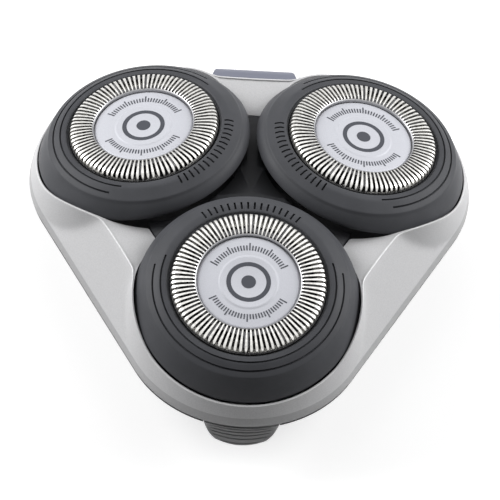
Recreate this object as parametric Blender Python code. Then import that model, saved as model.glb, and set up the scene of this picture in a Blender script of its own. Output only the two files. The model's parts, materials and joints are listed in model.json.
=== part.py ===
"""Rotary shaver head: three leaning cutter pods in a silver lid, hinged on a hair chamber.

Metres, +Z up. The origin is the centre of the coupling collar's bottom face, which is
the face that clips on a handle. The front, with the release button, faces -Y.
Each pod has its own frame: +Z along the pod's axis and +X outward, away from the unit's axis.
Radii build outward from the guard, and heights build up from the collar's bottom face.
"""

import math

import bmesh
import bpy
from mathutils import Matrix, Vector

# Directions of the pods and of the webs between them
POD_AZIMUTHS = {"front": -90, "right": 30, "left": 150}
WEB_AZIMUTHS = (90, 210, 330)
HALF_SECTOR = math.radians(60)
POD_LEAN = math.radians(10.2)

# Guard: a steel cap with radial slots round a sunk centre
RECESS_RADIUS = 0.0075
TRACK_WIDTH = 0.0037
GUARD_RADIUS = RECESS_RADIUS + TRACK_WIDTH
GUARD_PLATE = 0.0003
GUARD_CHAMFER = 0.00025
GUARD_WALL_DEPTH = 0.00125
GUARD_DEPTH = 0.0018
GUARD_FLARE = 0.0004
SLOT_COUNT = 60
SLOT_WIDTH = 0.00042
RECESS_DEPTH = 0.0010
SLOT_INNER_STEP = 0.0004
SLOT_INNER = RECESS_RADIUS + SLOT_INNER_STEP
SLOT_OUTER_INSET = 0.0005
SLOT_OUTER = GUARD_RADIUS - SLOT_OUTER_INSET
GUARD_STEPS = 24

# Centre cover, snapped into the guard's sunk centre
COVER_GAP = 0.00015
COVER_RADIUS = RECESS_RADIUS - COVER_GAP
COVER_SINK = 0.0006
COVER_SEAT_GAP = 0.00003
COVER_CENTRE_RADIUS = 0.00415
COVER_CENTRE_SLOPE = 0.0002
COVER_CENTRE_RISE = 0.0001
COVER_CHAMFER = 0.00015
COVER_STEPS = 20

# Pod ring: the dark housing that shows round each guard
RING_BORE_STEP = 0.0002
RING_BORE = GUARD_RADIUS + RING_BORE_STEP
RING_TOP_SINK = 0.0003
RING_FLAT_STEP = 0.0024
RING_FLAT_RADIUS = RING_BORE + RING_FLAT_STEP
RING_FLAT_SINK = 0.00052
RING_SHOULDER_STEP = 0.0005
RING_SHOULDER_RADIUS = RING_FLAT_RADIUS + RING_SHOULDER_STEP
RING_SHOULDER_SINK = 0.00085
RING_BROW_STEP = 0.0009
RING_BROW_RADIUS = RING_SHOULDER_RADIUS + RING_BROW_STEP
RING_BROW_SINK = 0.0018
RING_SEAT_STEP = 0.0006
RING_SEAT_RADIUS = RING_BORE + RING_SEAT_STEP
RING_SEAT_SINK = 0.0015
RING_SEAT_DEPTH = 0.0024
RING_SEAT_LIP = 0.00025
RING_STEPS = 32

# Rim plane: the plane of a pod's lower edge and of the lid's collar round it
RIM_SINK = 0.00443
TILT_AXIS_DROP = 0.00187
TILT_AXIS_DEPTH = RIM_SINK + TILT_AXIS_DROP
RIM_OFFSET = 0.0004
RIM_LEAN = math.radians(3.6)
SKIRT_STEP = 0.00095
SKIRT_RADIUS = RING_BROW_RADIUS + SKIRT_STEP
SKIRT_WALL = 0.0006

# Circle of the pods' centres, from half the room between two skirts
POD_SPACING = 0.000417
POD_CIRCLE = (SKIRT_RADIUS + POD_SPACING) / math.sin(HALF_SECTOR)
SEAT_GAP = 0.0003

# Carrier: the black ring under the pod ring, with the two tilt pins
CARRIER_INSET = 0.00045
CARRIER_RADIUS = SKIRT_RADIUS - SKIRT_WALL - CARRIER_INSET
CARRIER_FOOT_INSET = 0.0006
CARRIER_FOOT_RADIUS = CARRIER_RADIUS - CARRIER_FOOT_INSET
CARRIER_TOP_DROP = 0.00015
CARRIER_DEPTH = 0.0017
CARRIER_BORE_INSET = 0.0022
CARRIER_BORE = CARRIER_RADIUS - CARRIER_BORE_INSET
CARRIER_BORE_TOP = 0.0035
CARRIER_STEPS = 20
EAR_INNER_STEP = 0.0003
EAR_INNER = CARRIER_RADIUS + EAR_INNER_STEP
EAR_OUTER_STEP = 0.0006
EAR_OUTER = EAR_INNER + EAR_OUTER_STEP
TILT_PIN_RADIUS = 0.00055
TILT_PIN_TIP_INSET = 0.0001
TILT_PIN_TIP = EAR_OUTER - TILT_PIN_TIP_INSET
TILT_PIN_ROOT_STEP = 0.0006
TILT_PIN_ROOT = CARRIER_BORE + TILT_PIN_ROOT_STEP
CATCH_ARC = math.radians(26)
CATCH_REACH_INSET = 0.0007
CATCH_REACH = CARRIER_BORE - CATCH_REACH_INSET
CATCH_ROOT_STEP = 0.0006
CATCH_ROOT = CARRIER_BORE + CATCH_ROOT_STEP
CATCH_TOP = 0.0036
CATCH_HEIGHT = 0.0006

# Retaining ring: turns a quarter way out of the carrier's catches
LUG_GAP = 0.0004
LUG_RADIUS = CARRIER_BORE - LUG_GAP
LUG_ROOT = 0.0004
LUG_HEIGHT = 0.0003
LUG_ARC = math.radians(24)
RETAINER_INSET = 0.0007
RETAINER_RADIUS = LUG_RADIUS - RETAINER_INSET
RETAINER_BORE_INSET = 0.0017
RETAINER_BORE = RETAINER_RADIUS - RETAINER_BORE_INSET
RETAINER_TOP = 0.0021
RETAINER_HEIGHT = 0.0012
RETAINER_STEPS = 18

# Cutter: a steel ring with fingers, on a plastic hub
CUTTER_INSET = 0.0006
CUTTER_RADIUS = GUARD_RADIUS - CUTTER_INSET
CUTTER_BORE_STEP = 0.0003
CUTTER_BORE = RECESS_RADIUS + GUARD_PLATE + CUTTER_BORE_STEP
CUTTER_RING_STEP = 0.0007
CUTTER_RING_RADIUS = CUTTER_BORE + CUTTER_RING_STEP
CUTTER_TOP = 0.00042
CUTTER_BOTTOM = 0.0019
FINGER_COUNT = 12
FINGER_ARC = math.radians(4.5)
HUB_INSET = 0.0004
HUB_RADIUS = CUTTER_BORE - HUB_INSET
HUB_TOP = 0.0016
HUB_PLATE = 0.0006
HUB_BOSS_RADIUS = 0.0028
HUB_REACH = 0.0008
HUB_BOTTOM = TILT_AXIS_DEPTH + HUB_REACH
SOCKET_ROOM = 0.0015
SOCKET_TOP = TILT_AXIS_DEPTH - SOCKET_ROOM
SOCKET_ACROSS = 0.0034
HUB_STEPS = 16

# Coupling collar and gear cover
COLLAR_RING_RADIUS = 0.0140
COLLAR_RING_WALL = 0.0024
COLLAR_RING_BORE = COLLAR_RING_RADIUS - COLLAR_RING_WALL
COLLAR_RING_TOP = 0.0021
NOTCH_WIDTH = 0.0030
NOTCH_DEPTH = 0.0009
NOTCH_HEIGHT = 0.0012
COVER_PLATE_Z_STEP = 0.0003
COVER_PLATE_Z = COLLAR_RING_TOP + COVER_PLATE_Z_STEP
COVER_PLATE = 0.0011
COVER_HOLE_RADIUS = 0.0036

# Gears and spindles
DRIVE_TEETH = 18
SATELLITE_TEETH = 12
GEAR_Z_STEP = 0.0010
GEAR_Z = COVER_PLATE_Z + COVER_PLATE + GEAR_Z_STEP
GEAR_WIDTH = 0.0018
TOOTH_ADDENDUM = 0.75
TOOTH_DEDENDUM = 0.95
TOOTH_BACKLASH = 0.00012
DRIVE_BOSS_RADIUS = 0.0032
DRIVE_BOSS_FOOT_Z = 0.0008
DRIVE_SOCKET_TOP_Z_INSET = 0.0005
DRIVE_SOCKET_TOP_Z = GEAR_Z - DRIVE_SOCKET_TOP_Z_INSET
DRIVE_SOCKET_ACROSS = 0.0034
TUBE_RADIUS = 0.0026
TUBE_BORE = 0.0017
TUBE_FLOOR_Z_STEP = 0.0008
TUBE_FLOOR_Z = GEAR_Z + TUBE_FLOOR_Z_STEP
STUD_RADIUS = 0.00095
STUD_HOLE_RADIUS = 0.0013
STUD_TOP_Z_STEP = 0.0003
STUD_TOP_Z = GEAR_Z + STUD_TOP_Z_STEP
STUD_HOLE_TOP_Z_STEP = 0.0001
STUD_HOLE_TOP_Z = STUD_TOP_Z + STUD_HOLE_TOP_Z_STEP
SPINDLE_RADIUS = 0.00085
SPINDLE_COLLAR_RADIUS = 0.00145
SPINDLE_FOOT_Z_STEP = 0.0013
SPINDLE_FOOT_Z = TUBE_FLOOR_Z + SPINDLE_FOOT_Z_STEP
SPINDLE_COLLAR_Z_STEP = 0.0032
SPINDLE_COLLAR_Z = TUBE_FLOOR_Z + SPINDLE_COLLAR_Z_STEP
SPINDLE_COLLAR_HEIGHT = 0.0008
SPINDLE_HEAD_RADIUS = 0.0013
SPINDLE_HEAD_BELOW = 0.0006
SPINDLE_HEAD_ABOVE = 0.0007
SPINDLE_CHAMFER = 0.0004
SPRING_RADIUS = 0.00125
SPRING_WIRE = 0.00017
SPRING_GAP = 0.00005
SPRING_TURNS = 3
SPRING_STEPS = 6

# Hair chamber, with the gear room under its floor
ROOM_CORNER_CIRCLE_INSET = 0.00113
ROOM_CORNER_CIRCLE = POD_CIRCLE - ROOM_CORNER_CIRCLE_INSET
SPINDLE_REACH = POD_CIRCLE - TILT_AXIS_DEPTH * math.sin(POD_LEAN)
GEAR_MODULE = 2 * SPINDLE_REACH / (DRIVE_TEETH + SATELLITE_TEETH)
ROOM_STEP = 0.0004
ROOM_RADIUS = GEAR_MODULE * (SATELLITE_TEETH / 2 + TOOTH_ADDENDUM) + ROOM_STEP
ROOM_FOOT_Z = COVER_PLATE_Z
ROOM_CEILING_Z_STEP = 0.0006
ROOM_CEILING_Z = GEAR_Z + GEAR_WIDTH + ROOM_CEILING_Z_STEP
CHAMBER_FLOOR = 0.0011
CHAMBER_FLOOR_Z = ROOM_CEILING_Z + CHAMBER_FLOOR
CHAMBER_SHOULDER_Z_STEP = 0.0007
CHAMBER_SHOULDER_Z = ROOM_CEILING_Z + CHAMBER_SHOULDER_Z_STEP
CHAMBER_DEPTH = 0.0028
CHAMBER_RIM_Z = CHAMBER_FLOOR_Z + CHAMBER_DEPTH
CHAMBER_WALL = 0.0011
FLOOR_HOLE_STEP = 0.0004
FLOOR_HOLE_RADIUS = TUBE_RADIUS + FLOOR_HOLE_STEP
TUBE_TOP_Z_STEP = 0.0022
TUBE_TOP_Z = CHAMBER_FLOOR_Z + TUBE_TOP_Z_STEP
ARC_STEPS = 6

# Lid shell
COLLAR_DROP = 0.00042
COLLAR_GAP = 0.00027
COLLAR_WALL = 0.00043
CREASE_FLARE = 0.00075
FOOT_FLARE = 0.0006
CORNER_INSET = 0.00133
LID_SEAM = 0.0005
FOOT_BAND = 0.0022
FACET_HEIGHT = 0.00163
LID_CORNER_CIRCLE = POD_CIRCLE - CORNER_INSET
LID_COLLAR_RADIUS = SKIRT_RADIUS + COLLAR_GAP + COLLAR_WALL
LID_CREASE_RADIUS = LID_COLLAR_RADIUS + CREASE_FLARE
LID_FOOT_RADIUS = LID_CREASE_RADIUS + FOOT_FLARE
LID_FOOT_Z = CHAMBER_RIM_Z + LID_SEAM
LID_CREASE_Z = LID_FOOT_Z + FOOT_BAND
LID_FOOT_WALL = 0.0009
LID_CREASE_WALL = 0.00075
WEB_RIM_REACH_INSET = 0.0047
WEB_RIM_REACH = LID_CORNER_CIRCLE / 2 + LID_CREASE_RADIUS - WEB_RIM_REACH_INSET
WEB_RIM_DROP = 0.0034
WEB_EDGE_REACH_INSET = 0.0056
WEB_EDGE_REACH = WEB_RIM_REACH - WEB_EDGE_REACH_INSET
WEB_EDGE_DROP = 0.0045
WEB_THICKNESS = 0.0012
FACET_WALL = 0.0012
BORE_LIP = 0.00002
LID_STEPS = 54
OUTLINE_BLEND = 0.0010
CHAMBER_RIM_INSET = 0.0002
CHAMBER_RIM_RADIUS = LID_CREASE_RADIUS - CHAMBER_RIM_INSET
CHAMBER_SHOULDER_INSET = 0.0026
CHAMBER_SHOULDER_RADIUS = CHAMBER_RIM_RADIUS - CHAMBER_SHOULDER_INSET

# Height of the guards' tops: a facet's height over the crease at the lowest point of a collar's rim
RIM_FALL = LID_COLLAR_RADIUS * math.sin(POD_LEAN + RIM_LEAN)
RIM_HEIGHT = LID_CREASE_Z + FACET_HEIGHT + RIM_FALL
GUARD_HEIGHT = RIM_HEIGHT + COLLAR_DROP + RIM_OFFSET * math.sin(POD_LEAN) + RIM_SINK * math.cos(POD_LEAN)

# Inner frame: the lid's black chassis
FRAME_PLATE = 0.0012
FRAME_PLATE_Z_STEP = 0.0001
FRAME_PLATE_Z = LID_FOOT_Z + FRAME_PLATE_Z_STEP
FRAME_GAP = 0.00055
FRAME_RADIUS = LID_CREASE_RADIUS - LID_CREASE_WALL - FRAME_GAP
FRAME_OPENING_INSET = 0.0003
FRAME_OPENING = CARRIER_BORE - FRAME_OPENING_INSET
FRAME_OPENING_CIRCLE_INSET = 0.00193
FRAME_OPENING_CIRCLE = POD_CIRCLE - FRAME_OPENING_CIRCLE_INSET
SPINE_DROP = 0.0050
SPINE_TOP_Z = GUARD_HEIGHT - SPINE_DROP
SPINE_HUB = 0.0026
SPINE_WAIST_REACH_INSET = 0.000265
SPINE_WAIST_REACH = POD_CIRCLE / 2 - SPINE_WAIST_REACH_INSET
SPINE_WAIST = 0.0006
SPINE_END = 0.0016
EAR_HALF_WIDTH = 0.0013
EAR_HOLE_STEP = 0.0002
EAR_HOLE_RADIUS = TILT_PIN_RADIUS + EAR_HOLE_STEP
EAR_RISE = 0.00115

# Hinge at the rear
HINGE_Y_INSET = 0.0009
HINGE_Y = LID_CORNER_CIRCLE / 2 + LID_CREASE_RADIUS - HINGE_Y_INSET
HINGE_Z_STEP = 0.0023
HINGE_Z = LID_CREASE_Z + HINGE_Z_STEP
HINGE_PIN_RADIUS = 0.0007
HINGE_HOLE_STEP = 0.00015
HINGE_HOLE_RADIUS = HINGE_PIN_RADIUS + HINGE_HOLE_STEP
KNUCKLE_RADIUS = 0.00175
KNUCKLE_HALF = 0.0060
POST_FRONT_Y_INSET = 0.0017
POST_FRONT_Y = HINGE_Y - POST_FRONT_Y_INSET
HINGE_COVER_BORE_STEP = 0.00025
HINGE_COVER_BORE = KNUCKLE_RADIUS + HINGE_COVER_BORE_STEP
HINGE_COVER_STEP = 0.0003
HINGE_COVER_RADIUS = HINGE_COVER_BORE + HINGE_COVER_STEP
HINGE_COVER_HALF_STEP = 0.0003
HINGE_COVER_HALF = KNUCKLE_HALF + HINGE_COVER_HALF_STEP
HINGE_COVER_SWEEP = math.radians(200)
HINGE_COVER_START = math.radians(-15)
POST_STEP = 0.0012
POST_RISE = 0.0030
HINGE_ROOM_GAP = 0.00035
HINGE_ROOM_REACH = 0.006
LID_EAR_RADIUS = 0.0017
EAR_GUSSET_REACH = 0.0024
EAR_GUSSET_RISE = 0.0016
EAR_GUSSET_FOOT = 0.0018
LID_EAR_INNER_STEP = 0.0003
LID_EAR_INNER = HINGE_COVER_HALF + LID_EAR_INNER_STEP
LID_EAR_OUTER_STEP = 0.0015
LID_EAR_OUTER = LID_EAR_INNER + LID_EAR_OUTER_STEP
HINGE_PIN_HALF_INSET = 0.0002
HINGE_PIN_HALF = LID_EAR_OUTER - HINGE_PIN_HALF_INSET
HINGE_STEPS = 12

# Release button at the front, with its hook under the lid's ledge
LID_FRONT_Y = -(LID_CORNER_CIRCLE + LID_FOOT_RADIUS)
TAB_FRONT_Y_INSET = 0.0009
TAB_FRONT_Y = LID_FRONT_Y - TAB_FRONT_Y_INSET
TAB_THICKNESS = 0.0013
TAB_TOP_Z_STEP = 0.0001
TAB_TOP_Z = CHAMBER_RIM_Z + TAB_TOP_Z_STEP
TAB_BOTTOM_Z_INSET = 0.0029
TAB_BOTTOM_Z = TAB_TOP_Z - TAB_BOTTOM_Z_INSET
TAB_TOP_HALF = 0.00545
TAB_BOTTOM_HALF = 0.0034
TAB_CORNER_BULGE = 0.0005
TAB_CORNER_DROP = 0.0003
TAB_SIDE_TAPER = 0.0002
TAB_FOOT_INSET = 0.0014
TAB_RIBS = 4
TAB_RIB_DEPTH = 0.00025
TAB_RIB_WIDTH = 0.00028
STEM_HALF = 0.0030
STEM_TOP_Z_INSET = 0.0005
STEM_TOP_Z = CHAMBER_RIM_Z - STEM_TOP_Z_INSET
STEM_BOTTOM_Z_INSET = 0.0014
STEM_BOTTOM_Z = STEM_TOP_Z - STEM_BOTTOM_Z_INSET
STEM_BACK_Y_STEP = 0.0035
STEM_BACK_Y = LID_FRONT_Y + STEM_BACK_Y_STEP
HOOK_THICKNESS = 0.0010
HOOK_ROOM = 0.0016
HOOK_TOP_Z_STEP = 0.00125
HOOK_TOP_Z = LID_FOOT_Z + HOOK_TOP_Z_STEP
HOOK_NOSE_HEIGHT = 0.00055
HOOK_NOSE_Y_STEP = 0.00185
HOOK_NOSE_Y = LID_FRONT_Y + HOOK_NOSE_Y_STEP
WINDOW_GAP = 0.0004
WINDOW_DEPTH = 0.0017
LEDGE_HALF = 0.0030
LEDGE_EDGE_Y_STEP = 0.0017
LEDGE_EDGE_Y = LID_FRONT_Y + LEDGE_EDGE_Y_STEP
LEDGE_TOP_Z_STEP = 0.00055
LEDGE_TOP_Z = LID_FOOT_Z + LEDGE_TOP_Z_STEP

# Room that cutters run past what they cut
PAST = 0.001


def clear_scene():
    for obj in list(bpy.data.objects):
        bpy.data.objects.remove(obj, do_unlink=True)


def make_material(name, colour, roughness, metallic=0.0):
    material = bpy.data.materials.new(name)
    material.use_nodes = True
    shader = material.node_tree.nodes["Principled BSDF"]
    shader.inputs["Base Color"].default_value = (*colour, 1.0)
    shader.inputs["Roughness"].default_value = roughness
    shader.inputs["Metallic"].default_value = metallic
    return material


def add_object(name, bm, material=None, parent=None, place=None):
    """Turns a bmesh into an object, shaded smooth but for its sharp edges."""
    bmesh.ops.recalc_face_normals(bm, faces=bm.faces)
    mesh = bpy.data.meshes.new(name)
    bm.to_mesh(mesh)
    bm.free()
    mesh.shade_smooth()
    mesh.set_sharp_from_angle(angle=math.radians(35))
    obj = bpy.data.objects.new(name, mesh)
    bpy.context.scene.collection.objects.link(obj)
    if material:
        mesh.materials.append(material)
    obj.parent = parent
    if place is not None:
        obj.matrix_basis = place
    return obj


def add_empty(name, place, parent=None):
    empty = bpy.data.objects.new(name, None)
    empty.empty_display_size = 0.004
    bpy.context.scene.collection.objects.link(empty)
    empty.parent = parent
    empty.matrix_basis = place
    return empty


def combine(target, tool_bm, operation, place=None):
    """Adds a live Boolean with a hidden helper, which shares the target's parent."""
    helper = add_object(f"{target.name}_{operation.lower()}_{len(target.modifiers)}", tool_bm)
    helper.parent = target.parent
    helper.matrix_basis = place if place is not None else target.matrix_basis
    helper.hide_render = True
    helper.display_type = "WIRE"
    modifier = target.modifiers.new(helper.name, "BOOLEAN")
    modifier.operation = operation
    modifier.object = helper


def turned(profile, steps, closed=True):
    """Spins a profile of (radius, height) points about Z."""
    bm = bmesh.new()
    verts = [bm.verts.new((radius, 0, z)) for radius, z in profile]
    edges = [bm.edges.new(pair) for pair in zip(verts, verts[1:])]
    if closed:
        edges.append(bm.edges.new((verts[-1], verts[0])))
    bmesh.ops.spin(bm, geom=verts + edges, cent=(0, 0, 0), axis=(0, 0, 1),
                   angle=math.tau, steps=steps, use_merge=True)
    bmesh.ops.remove_doubles(bm, verts=bm.verts, dist=1e-6)
    return bm


def loft(rings, capped, split=True):
    """Skins a row of point rings. Capped, it closes both ends; otherwise it joins the last to the first.
    Faces are split into triangles because the Boolean solver needs flat ones."""
    bm = bmesh.new()
    loops = [[bm.verts.new(point) for point in ring] for ring in rings]
    pairs = list(zip(loops, loops[1:]))
    if not capped:
        pairs.append((loops[-1], loops[0]))
    for low, high in pairs:
        for i in range(len(low)):
            j = (i + 1) % len(low)
            bm.faces.new((low[i], low[j], high[j], high[i]))
    if capped:
        bm.faces.new(loops[0])
        bm.faces.new(loops[-1])
    if split:
        bmesh.ops.triangulate(bm, faces=bm.faces)
    return bm


def prism(outline, bottom, top):
    """Extrudes a flat outline of (x, y) points from one height to another."""
    bm = bmesh.new()
    base = bm.faces.new([bm.verts.new((x, y, bottom)) for x, y in outline])
    grown = bmesh.ops.extrude_face_region(bm, geom=[base])
    lifted = [part for part in grown["geom"] if isinstance(part, bmesh.types.BMVert)]
    bmesh.ops.translate(bm, verts=lifted, vec=(0, 0, top - bottom))
    return bm


def turn_about_z(bm, angle):
    bmesh.ops.rotate(bm, verts=bm.verts, cent=(0, 0, 0), matrix=Matrix.Rotation(angle, 3, "Z"))


def block(low, high):
    """A box between two corners."""
    bm = bmesh.new()
    bmesh.ops.create_cube(bm, size=1)
    low, high = Vector(low), Vector(high)
    bmesh.ops.scale(bm, verts=bm.verts, vec=high - low)
    bmesh.ops.translate(bm, verts=bm.verts, vec=(low + high) / 2)
    return bm


def rod(radius, start, end, steps, axis="Z", centre=(0, 0, 0)):
    """A round bar along an axis, from start to end on it."""
    bm = turned([(0, start), (radius, start), (radius, end), (0, end)], steps, closed=False)
    turn = {"X": Matrix.Rotation(math.radians(90), 3, "Y"),
            "Y": Matrix.Rotation(math.radians(-90), 3, "X"),
            "Z": Matrix.Identity(3)}[axis]
    bmesh.ops.rotate(bm, verts=bm.verts, cent=(0, 0, 0), matrix=turn)
    bmesh.ops.translate(bm, verts=bm.verts, vec=centre)
    return bm


def add_bm(target, other):
    """Copies one bmesh into another, as a separate body of the same tool."""
    mesh = bpy.data.meshes.new("merge")
    other.to_mesh(mesh)
    other.free()
    target.from_mesh(mesh)
    bpy.data.meshes.remove(mesh)
    return target


def arc_block(inner, outer, bottom, top, arc, steps=1):
    """A piece of a ring, centred on +X."""
    angles = [arc * (i / steps - 0.5) for i in range(steps + 1)]
    outside = [(outer * math.cos(a), outer * math.sin(a)) for a in angles]
    inside = [(inner * math.cos(a), inner * math.sin(a)) for a in reversed(angles)]
    return prism(outside + inside, bottom, top)


def hull_outline(corner_circle, radius, steps=ARC_STEPS):
    """Outline round three equal discs, one for each pod: three arcs joined by straight sides."""
    points = []
    for azimuth in sorted(POD_AZIMUTHS.values()):
        centre = Vector((math.cos(math.radians(azimuth)), math.sin(math.radians(azimuth)))) * corner_circle
        for i in range(steps + 1):
            angle = math.radians(azimuth) - HALF_SECTOR + 2 * HALF_SECTOR * i / steps
            points.append((centre.x + radius * math.cos(angle), centre.y + radius * math.sin(angle)))
    return points


def at_height(outline, z):
    return [Vector((x, y, z)) for x, y in outline]


def pod_matrix(azimuth, depth=0.0):
    """A pod's frame: its origin on the pod's axis, this far under the guard's top."""
    turn = Matrix.Rotation(math.radians(azimuth), 4, "Z") @ Matrix.Rotation(POD_LEAN, 4, "Y")
    seat = Vector((POD_CIRCLE * math.cos(math.radians(azimuth)),
                   POD_CIRCLE * math.sin(math.radians(azimuth)), GUARD_HEIGHT))
    return Matrix.Translation(seat) @ turn @ Matrix.Translation((0, 0, -depth))


def rim_point(angle, radius, drop):
    """A point in the pod's frame, on a circle in the rim plane or this far under it."""
    flat = Vector((radius * math.cos(angle), radius * math.sin(angle), -drop))
    tilted = Matrix.Rotation(RIM_LEAN, 3, "Y") @ flat
    return tilted + Vector((RIM_OFFSET, 0, -RIM_SINK))


def circle_ring(radius, height, steps):
    return [Vector((radius * math.cos(math.tau * i / steps), radius * math.sin(math.tau * i / steps), height))
            for i in range(steps)]


def rim_ring(radius, drop, steps):
    return [rim_point(math.tau * i / steps, radius, drop) for i in range(steps)]


def gear_outline(teeth, phase):
    """Straight-flanked teeth with a 20 degree pressure angle. At phase 0 a tooth points along +X."""
    module = GEAR_MODULE
    pitch_radius = module * teeth / 2
    slope = math.tan(math.radians(20))
    half_pitch_tooth = math.pi * module / 4 - TOOTH_BACKLASH
    levels = [(pitch_radius - TOOTH_DEDENDUM * module, half_pitch_tooth + TOOTH_DEDENDUM * module * slope),
              (pitch_radius + TOOTH_ADDENDUM * module, half_pitch_tooth - TOOTH_ADDENDUM * module * slope)]
    points = []
    for i in range(teeth):
        centre = phase + math.tau * i / teeth
        for side, order in ((-1, levels), (1, levels[::-1])):
            for radius, half in order:
                angle = centre + side * half / radius
                points.append((radius * math.cos(angle), radius * math.sin(angle)))
    return points


def reach_of_disc(delta, centre, radius, squash=1.0):
    """How far a disc's edge is from the unit's axis, at this angle from the disc's centre.
    squash shortens the disc along the line to its centre, as a leaning circle is in plan."""
    a = (math.cos(delta) / squash) ** 2 + math.sin(delta) ** 2
    b = -2 * centre * math.cos(delta) / squash ** 2
    c = (centre / squash) ** 2 - radius ** 2
    return (-b + math.sqrt(max(0, b * b - 4 * a * c))) / (2 * a)


def sector(theta):
    """Angle to the nearest pod's azimuth and to the nearest web's, both positive."""
    to_pod = min(abs((theta - math.radians(az) + math.pi) % math.tau - math.pi)
                 for az in POD_AZIMUTHS.values())
    return to_pod, HALF_SECTOR - to_pod


def joined_reach(disc, side, to_web):
    """The outer of a disc and a straight web side, blended where they meet."""
    if to_web > HALF_SECTOR / 2:
        return disc
    return (disc + side + math.hypot(disc - side, OUTLINE_BLEND)) / 2


def hull_reach(theta, corner_circle, radius):
    to_pod, to_web = sector(theta)
    side_reach = corner_circle / 2 + radius
    tangent = math.atan2(corner_circle * math.sin(HALF_SECTOR), side_reach)
    if to_web < tangent:
        return side_reach / math.cos(to_web)
    return reach_of_disc(to_pod, corner_circle, radius)


def rim_centre():
    """Reach and height of the centre of a collar's top edge, and the lean of its plane."""
    lean = POD_LEAN + RIM_LEAN
    reach = POD_CIRCLE + RIM_OFFSET * math.cos(POD_LEAN) - RIM_SINK * math.sin(POD_LEAN)
    height = GUARD_HEIGHT - RIM_OFFSET * math.sin(POD_LEAN) - RIM_SINK * math.cos(POD_LEAN)
    return reach, height - COLLAR_DROP, lean


def collar_bore():
    return SKIRT_RADIUS + COLLAR_GAP


def lid_outer_reach(theta, down):
    """Reach of the lid's outer face between its top edge (down 0) and its crease (down 1)."""
    to_pod, to_web = sector(theta)
    reach, _, lean = rim_centre()
    if down == 1:
        return hull_reach(theta, LID_CORNER_CIRCLE, LID_CREASE_RADIUS)
    centre = reach + (LID_CORNER_CIRCLE - reach) * down
    top_radius = collar_bore() + COLLAR_WALL
    radius = top_radius + (LID_CREASE_RADIUS - top_radius) * down
    squash = math.cos(lean) + (1 - math.cos(lean)) * down
    disc = reach_of_disc(to_pod, centre, radius, squash)
    crease_side = LID_CORNER_CIRCLE / 2 + LID_CREASE_RADIUS
    side = WEB_RIM_REACH + (crease_side - WEB_RIM_REACH) * down
    return joined_reach(disc, side / math.cos(to_web), to_web)


def lid_bore_reach(theta):
    to_pod, to_web = sector(theta)
    reach, _, lean = rim_centre()
    disc = reach_of_disc(to_pod, reach, collar_bore(), math.cos(lean))
    return joined_reach(disc, WEB_EDGE_REACH / math.cos(to_web), to_web)


def lid_top_height(theta, reach):
    """Height of the lid's top face: the collars' leaning planes, and the webs between them."""
    to_pod, to_web = sector(theta)
    rim_reach, rim_height, lean = rim_centre()
    plane = rim_height - (reach * math.cos(to_pod) - rim_reach) * math.tan(lean)
    if to_web > HALF_SECTOR / 2:
        return plane
    slope = (WEB_EDGE_DROP - WEB_RIM_DROP) / (WEB_RIM_REACH - WEB_EDGE_REACH)
    web = GUARD_HEIGHT - WEB_RIM_DROP - slope * (WEB_RIM_REACH - reach * math.cos(to_web))
    return min(plane, web)


def polar_ring(reach_at, height_at):
    points = []
    for i in range(LID_STEPS):
        theta = math.tau * i / LID_STEPS + math.radians(30)
        reach = reach_at(theta)
        points.append(Vector((reach * math.cos(theta), reach * math.sin(theta), height_at(theta, reach))))
    return points


def make_lid_shell(material, parent, back_to_world):
    """Silver lid: a collar round each pod, webs between them, sloping facets and an upright foot."""
    def outer(down):
        def height(theta, _):
            top = lid_top_height(theta, lid_outer_reach(theta, 0))
            return top + (LID_CREASE_Z - top) * down
        return polar_ring(lambda theta: lid_outer_reach(theta, down), height)

    def hull_ring(radius, z):
        return polar_ring(lambda theta: hull_reach(theta, LID_CORNER_CIRCLE, radius), lambda *_: z)

    def under_reach(theta):
        return max(lid_bore_reach(theta) + BORE_LIP, lid_outer_reach(theta, 0) - FACET_WALL)

    def under_height(theta, _):
        top = lid_top_height(theta, lid_outer_reach(theta, 0))
        return max(top - WEB_THICKNESS - 0.0005, LID_CREASE_Z + 0.0001)

    rings = [
        hull_ring(LID_FOOT_RADIUS, LID_FOOT_Z),
        outer(1), outer(0.5), outer(0),
        polar_ring(lid_bore_reach, lid_top_height),
        polar_ring(lid_bore_reach, lambda theta, reach: lid_top_height(theta, reach) - WEB_THICKNESS),
        polar_ring(under_reach, under_height),
        hull_ring(LID_CREASE_RADIUS - LID_CREASE_WALL, LID_CREASE_Z - 0.0002),
        hull_ring(LID_FOOT_RADIUS - LID_FOOT_WALL, LID_FOOT_Z),
    ]
    shell = add_object("outer_shell", loft(rings, capped=False), material, parent, back_to_world)
    combine(shell, hinge_room(), "DIFFERENCE")
    for side in (-1, 1):
        combine(shell, lid_ear(side), "UNION")
    combine(shell, rod(HINGE_HOLE_RADIUS, -HINGE_PIN_HALF - PAST, HINGE_PIN_HALF + PAST, HINGE_STEPS, "X",
                       (0, HINGE_Y, HINGE_Z)), "DIFFERENCE")
    wall_inside = -(LID_CORNER_CIRCLE + LID_FOOT_RADIUS - LID_FOOT_WALL / 2)
    combine(shell, block((-LEDGE_HALF, wall_inside, LID_FOOT_Z + 0.0001),
                         (LEDGE_HALF, LEDGE_EDGE_Y, LEDGE_TOP_Z)), "UNION")
    return shell


def hinge_room():
    """What the lid leaves free for the chamber's knuckle, post and hinge cover."""
    half = (HINGE_COVER_HALF + LID_EAR_INNER) / 2
    radius = HINGE_COVER_RADIUS + HINGE_ROOM_GAP
    outline = [(HINGE_Y + radius * math.cos(a), HINGE_Z + radius * math.sin(a))
               for a in (math.pi * i / 8 for i in range(9))]
    rear = HINGE_Y + HINGE_ROOM_REACH
    outline[0] = (rear, HINGE_Z + radius * 0.4)
    outline += [(POST_FRONT_Y - 0.0009, LID_FOOT_Z - PAST), (rear, LID_FOOT_Z - PAST)]
    bm = prism(outline, -half, half)
    lay_along_x(bm)
    return bm


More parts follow.
